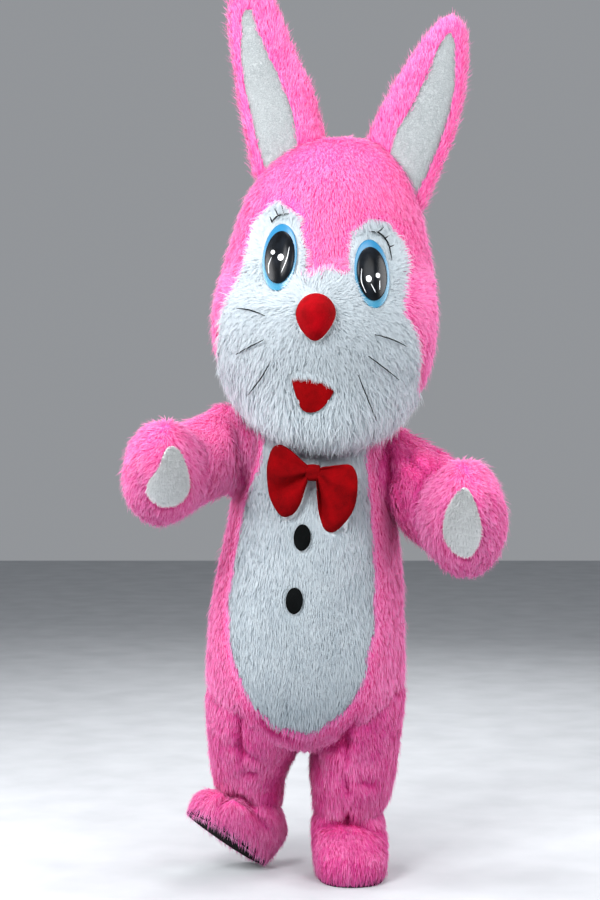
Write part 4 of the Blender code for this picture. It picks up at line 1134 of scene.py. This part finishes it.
# where the pile changes its way or its length: metres at which a zone starts, and over how many it sets in
zones = {
    "mittForward": (0.17, 0.05), "mittOut": (0.22, 0.03), "sleeveOut": (0.19, 0.04), "shoe": (0.17, 0.04),
    "bellyFoot": (0.47, 0.07), "headFront": (0.0, 0.08), "muzzle": (1.55, 0.08), "underNose": (1.43, 0.1),
    "eyes": (1.44, 0.04), "bridge": (1.45, 0.02), "brow": (1.46, 0.1), "beard": (beardTop, 0.1),
}
# ways that the pile is combed, and how much longer or shorter it is there as a share of its length
suitComb = {
    "spread": 0.6, "mittFrom": 0.6, "palmDeep": 0.3, "palmFall": 1.25, "palmwards": 0.9, "sleeveFrom": 0.75,
    "cuffwards": 0.5, "shoeOut": 0.5, "shoeDown": -0.9, "soleBelow": 0.3, "soleReach": 0.020, "standingSole": 0.8,
    "raisedSole": 0.45, "bellyFringe": 0.9,
}
headComb = {
    "middle": 0.06, "spread": 1.2, "crown": (1.6, 0.2), "crownEnds": (-0.4, 1), "backwards": 0.5,
    "parting": (-0.03, 0.08), "noseFall": 0.8, "eyeReach": 0.11, "brow": -0.25, "bridge": 0.3,
    "bridgeAt": (0.043, 0.022), "beard": 0.95,
}
earComb = {"outwards": 0.4, "up": 0.75}
# beside a seam: metres off that still count as on it, how much longer the pale pile is and within what reach
seamPile = {"onSeam": 0.001, "longer": 0.15, "reach": 0.012}
beardLight = 0.5  # the beard bends outwards, so it takes more light than the chin under it
palmMiddles = {"right": spot(-0.325, -0.30, 0.998), "left": spot(0.365, -0.29, 0.895)}
noseMiddle = {"x": 0.021, "height": 1.40}
soleTree = surfaceTree(*[frame["nodes"]["sole_" + side].data for side in sides])


def past(values, zone):
    start, width = zones[zone]
    return np.clip((values - start) / width, 0, 1)


def shortOf(values, zone):
    start, width = zones[zone]
    return np.clip((start - values) / width, 0, 1)


def hanging(points, middle, spread):
    # straight down, and outwards from the middle
    return np.stack([(points[:, 0] - middle) * spread, np.zeros(len(points)), np.full(len(points), -1.0)], axis=1)


def combSuit(points, normals, pale):
    rules = suitComb
    height = points[:, 2] + floorBelow
    way = hanging(points, 0.0, rules["spread"])
    for side, sign in (("right", -1), ("left", 1)):
        # on a mitt the pile spreads away from the palm's middle, and down
        out = points[:, 0] * sign
        onMitt = past(-points[:, 1], "mittForward") * past(out, "mittOut") * (height > rules["mittFrom"])
        away = unitRows((points - np.array(palmMiddles[side])) * (1.0, rules["palmDeep"], 1.0))
        away[:, 2] -= rules["palmFall"]
        way += onMitt[:, None] * (away * rules["palmwards"] - way)
        # along a sleeve it runs down and towards the cuff
        onSleeve = past(out, "sleeveOut") * (1 - onMitt) * (height > rules["sleeveFrom"])
        way[:, 0] += onSleeve * sign * rules["cuffwards"]
        way[:, 1] -= onSleeve * rules["cuffwards"]
    outward = normals * rules["shoeOut"]
    outward[:, 2] = rules["shoeDown"]
    way += shortOf(height, "shoe")[:, None] * (outward - way)
    # it hangs to the floor round the standing sole, less over the raised one, and in a fringe at the belly's foot
    toSole = np.full(len(points), np.inf)
    low = np.flatnonzero(height < rules["soleBelow"])
    toSole[low] = [soleTree.find_nearest(Vector(points[index]))[3] for index in low]
    over = np.where(points[:, 0] > 0, rules["standingSole"], rules["raisedSole"])
    share = 1 + over * nearness(toSole, rules["soleReach"])
    return way, share + rules["bellyFringe"] * pale * shortOf(height, "bellyFoot")


def combHead(points, normals, pale):
    rules = headComb
    height = points[:, 2] + floorBelow
    way = hanging(points, rules["middle"], rules["spread"])
    crown, over = rules["crown"]
    part, width = rules["parting"]
    onCrown = rules["backwards"] * np.clip((height - crown) / over, *rules["crownEnds"])
    way[:, 1] += onCrown * np.tanh((points[:, 1] - part) / width)
    front = past(-points[:, 1], "headFront")

    def awayFrom(x, middle):
        return np.stack([points[:, 0] - x, np.zeros(len(points)), height - middle], axis=1)

    # on the face the pile spreads away from the nose, and falls below it
    away = unitRows(awayFrom(noseMiddle["x"], noseMiddle["height"]))
    away[:, 2] -= shortOf(height, "underNose") * rules["noseFall"]
    way += (front * shortOf(height, "muzzle"))[:, None] * (away - way)
    # round each eye it spreads away from the eye
    for eye in eyeTable.values():
        off = awayFrom(eye["x"], eye["height"])
        close = front * pale * nearness(np.linalg.norm(off, axis=1), rules["eyeReach"], power=4)
        close *= past(height, "eyes")
        way += close[:, None] * (unitRows(off) - way)
    share = 1.0 + rules["brow"] * front * past(height, "brow")
    bridge, width = rules["bridgeAt"]
    share += rules["bridge"] * pale * nearness(points[:, 0] - bridge, width) * past(height, "bridge")
    return way, share + rules["beard"] * front * shortOf(height, "beard")


def combEar(points, normals, pale):
    way = normals * earComb["outwards"]
    way[:, 2] += earComb["up"]
    return way, np.ones(len(points))


combs = {"suit": combSuit, "head": combHead, "ear_right": combEar, "ear_left": combEar}


def markSkin(name, mesh):
    values = skinTable[name]
    paleOnes = {index for index, row in enumerate(panelTable[name]) if row[2] in paleKinds}
    points = readPoints(mesh)
    normals = pointNormals(mesh)
    distances = seamDistances(mesh, lambda index: index in paleOnes)
    pink = np.zeros(len(points))
    for polygon in mesh.polygons:
        if polygon.material_index not in paleOnes:
            pink[list(polygon.vertices)] = 1.0
    pale = 1 - pink * (distances > seamPile["onSeam"])
    way, share = combs[name](points, normals, pale)
    # the pink pile is clipped beside a pale panel, so that the pale one keeps its outline and reaches over the seam
    share *= 1 - values["clipped"] * (1 - pale) * nearness(distances, values["clipReach"])
    share *= 1 + seamPile["longer"] * pale * nearness(distances, seamPile["reach"])
    way -= normals * np.sum(way * normals, axis=1)[:, None]
    if name == "head":
        normals[:, 2] += beardLight * pale * shortOf(points[:, 2] + floorBelow, "beard")
    markCloth(mesh, unitRows(way), share, normals)


def panelMesh(skin, index, name):
    # one panel of a skin as its own mesh
    work = workOn(skin)
    bmesh.ops.delete(work, geom=[face for face in work.faces if face.material_index != index], context="FACES")
    mesh = meshFrom(work, name)
    for polygon in mesh.polygons:
        polygon.material_index = 0
        polygon.use_smooth = True
    mesh.materials.clear()
    return mesh


for name, mesh in skins.items():
    markSkin(name, mesh)

# pile of each kind of cloth: lengths and widths in metres, density in strands per square metre, and last the painted
# light and shade, paler or deeper by kind for how the light falls on it
pileRows = {
    "body": (110000.0, 0.027, 0.0021, 0.030, 0.14, 0.13, -0.16, 0.30, 0.25),
    "sleeve": (120000.0, 0.026, 0.0021, 0.024, 0.30, 0.18, -0.12, 0.35, -0.08),
    "leg": (120000.0, 0.025, 0.0020, 0.030, 0.14, 0.12, -0.18, 0.25, 0.02),
    "shoe": (170000.0, 0.021, 0.0020, 0.026, 0.12, 0.13, -0.16, 0.25, 0.02),
    "mitt": (140000.0, 0.019, 0.0020, 0.018, 0.35, 0.26, -0.06, 0.50, 0.08),
    "belly": (145000.0, 0.023, 0.0022, 0.034, 0.08, 0.08, -0.30, 0.10, 0.10),
    "face": (150000.0, 0.026, 0.0021, 0.026, 0.42, 0.40, -0.04, 0.28, 0.27),
    "head": (110000.0, 0.024, 0.0020, 0.028, 0.18, 0.16, -0.12, 0.40, 0.15),
    "ear": (130000.0, 0.020, 0.0019, 0.016, 0.35, 0.30, 0.08, 0.60, 0.04),
    "lining": (260000.0, 0.007, 0.0020, 0.012, 0.20, 0.25, -0.10, 0.20, 0.00),
    "fringe": (420000.0, 0.019, 0.0018, 0.008, 0.50, 0.30, -0.25, 0.40, 0.10),
    "palm": (380000.0, 0.011, 0.0022, 0.014, 0.20, 0.35, -0.05, 0.30, 0.30),
}
# its strand, finish, backing and slot
pinkLook = ("long", "pinkPile", "pinkBack", "pink_fur")
whiteLook = ("long", "whitePile", "whiteBack", "white_fur")
pileLooks = {
    "belly": whiteLook, "face": whiteLook, "fringe": whiteLook,
    "lining": ("short", "earPile", "earBack", "cream_plush"),
    "palm": ("short", "creamPile", "creamBack", "cream_plush"),
}
# painted light and shade: panels made paler or deeper by this share, for how the light falls on them
panelPaintedLight = {"sleeve_right": 0.24, "sleeve_left": -0.06, "shoe_upper_left": -0.12, "leg_left": -0.04}
firstSeed, seedStep = 3, 7
shellThick = 0.003  # metres
strands = {kind: strandTemplate(kind) for kind in strandShape}
grower = pileTree(strandRules)
totals = {"area": 0.0, "strands": 0}

# shapes that the pile keeps clear of: what is laid on the panels, only what is firm, and one that is far from all
firmNames = ("eyeRing", "nose", "mouth", "button_felt", "bow")
firmMeshes = [made.data for made in bpy.data.objects if made.name.startswith(firmNames)]
palmMeshes = [frame["nodes"]["palm_patch_" + side].data for side in sides]
guard = placeObject("laidOn", joinedMesh("laidOn", firmMeshes + palmMeshes))
firmGuard = placeObject("laidFirm", joinedMesh("laidFirm", firmMeshes))
farMesh = bpy.data.meshes.new("farAway")
farMesh.from_pydata([(0.0, 0.0, -9.0), (0.1, 0.0, -9.0), (0.0, 0.1, -9.0)], [], [(0, 1, 2)])
farAway = placeObject("farAway", farMesh)


def pileOf(kind, name, cloth, seed, under, beside, paintedLight=0.0):
    strand, finish, _, slot = pileLooks.get(kind, pinkLook)
    values = dict(zip(pileColumns, pileRows[kind]), Seed=seed, Strand=strands[strand], Finish=finishes[finish])
    values["Tone"] += paintedLight
    values.update({"Bare Under": under, "Short By": beside})
    return growPile(name, cloth, values)


def dressPanel(skin, index, node, kind, seed):
    mesh = panelMesh(skin, index, "shell_" + node)
    area = sum(polygon.area for polygon in mesh.polygons)
    pile = pileOf(kind, "pile_" + node, mesh.copy(), seed, guard, firmGuard, panelPaintedLight.get(node, 0.0))
    points = readPoints(mesh)
    strand, _, back, slot = pileLooks.get(kind, pinkLook)
    dropStored(mesh)
    solid = modified(mesh, "SOLIDIFY", thickness=shellThick, offset=-1.0)
    shell = finishPiece("shell_" + node, solid, finishes[back], [node])
    totals["area"] += area
    totals["strands"] += len(pile.data.polygons) // len(strandShape[strand]["faces"])


seed = firstSeed
for name, panels in panelTable.items():
    for index, (node, _, kind) in enumerate(panels):
        dressPanel(skins[name], index, node, kind, seed)
        seed += seedStep
print("stage: pile grown,", totals)

# fringe of face pile that hangs over the mouth's upper edge, as a line of (x, height)
fringeTable = {
    "edge": [(-0.032, 1.245), (-0.010, 1.243), (0.018, 1.239), (0.044, 1.230), (0.066, 1.218)],
    "deep": 0.010, "lift": 0.006, "comb": (0.1, 0.0, -1.0), "lying": (0.0, -0.95, 0.3),
}


def makeFringe(values):
    line = curveThrough([spot(x, 0.0, height) for x, height in values["edge"]], 4)
    points = [ontoSurface(faceTree, place + Vector((0.0, 0.0, up)), values["lift"])
              for up in (0.0, values["deep"]) for place in line]
    count = len(line)
    mesh = bpy.data.meshes.new("fringe")
    faces = [(index, index + 1, count + index + 1, count + index) for index in range(count - 1)]
    mesh.from_pydata(points, [], faces)
    mesh.update()
    markCloth(mesh, [values["comb"]] * len(points), [1.0] * len(points), [values["lying"]] * len(points))
    return pileOf("fringe", "pile_mouth_fringe", mesh, seed, farAway, farAway)


makeFringe(fringeTable)
print("stage: fringe over the mouth")

# palm patches: short plush over the form of their solids, bedded in the mitt's pile
palmTable = {"cut": {"right": (0.170, 0.118), "left": (0.192, 0.106)}, "filled": 0.75, "sink": 0.006,
             "rounds": 8, "facing": 0.1, "spread": 5, "fall": 0.9, "ownLight": 0.3}


def makePalm(side, values):
    node = "palm_patch_" + side
    mesh = smoothNode(node, 1)
    work = workOn(mesh)
    allWays = {"use_axis_x": True, "use_axis_y": True, "use_axis_z": True}
    for _ in range(values["rounds"]):
        bmesh.ops.smooth_vert(work, verts=work.verts, factor=0.5, **allWays)
    work.to_mesh(mesh)
    work.free()
    normals = pointNormals(mesh)
    outwards = normals[:, 1] < values["facing"]
    off = Vector(normals[outwards].mean(0)).normalized()
    mesh.transform(Matrix.Translation(off * -values["sink"]))
    cloth = mesh.copy()
    points = readPoints(cloth)
    away = (points - points.mean(0)) * values["spread"]
    away[:, 2] -= values["fall"]
    own = values["ownLight"]  # short plush takes the light evenly
    markCloth(cloth, away, outwards.astype(float), own * normals + (1 - own) * np.array(off))
    pile = pileOf("palm", "pile_" + node, cloth, seed + 1, farAway, farAway)
    patch = finishPiece("patch_palm_" + side, mesh, finishes["creamBack"], [node])


for side in sides:
    makePalm(side, palmTable)
for spare in list(strands.values()) + [guard, firmGuard, farAway]:
    bpy.data.objects.remove(spare, do_unlink=True)
print("stage: palm patches")

added = [made for made in bpy.data.objects if made.type == "MESH" and made.name not in frame["nodes"]]
print("stage: triangles added", sum(len(polygon.vertices) - 2 for made in added for polygon in made.data.polygons))
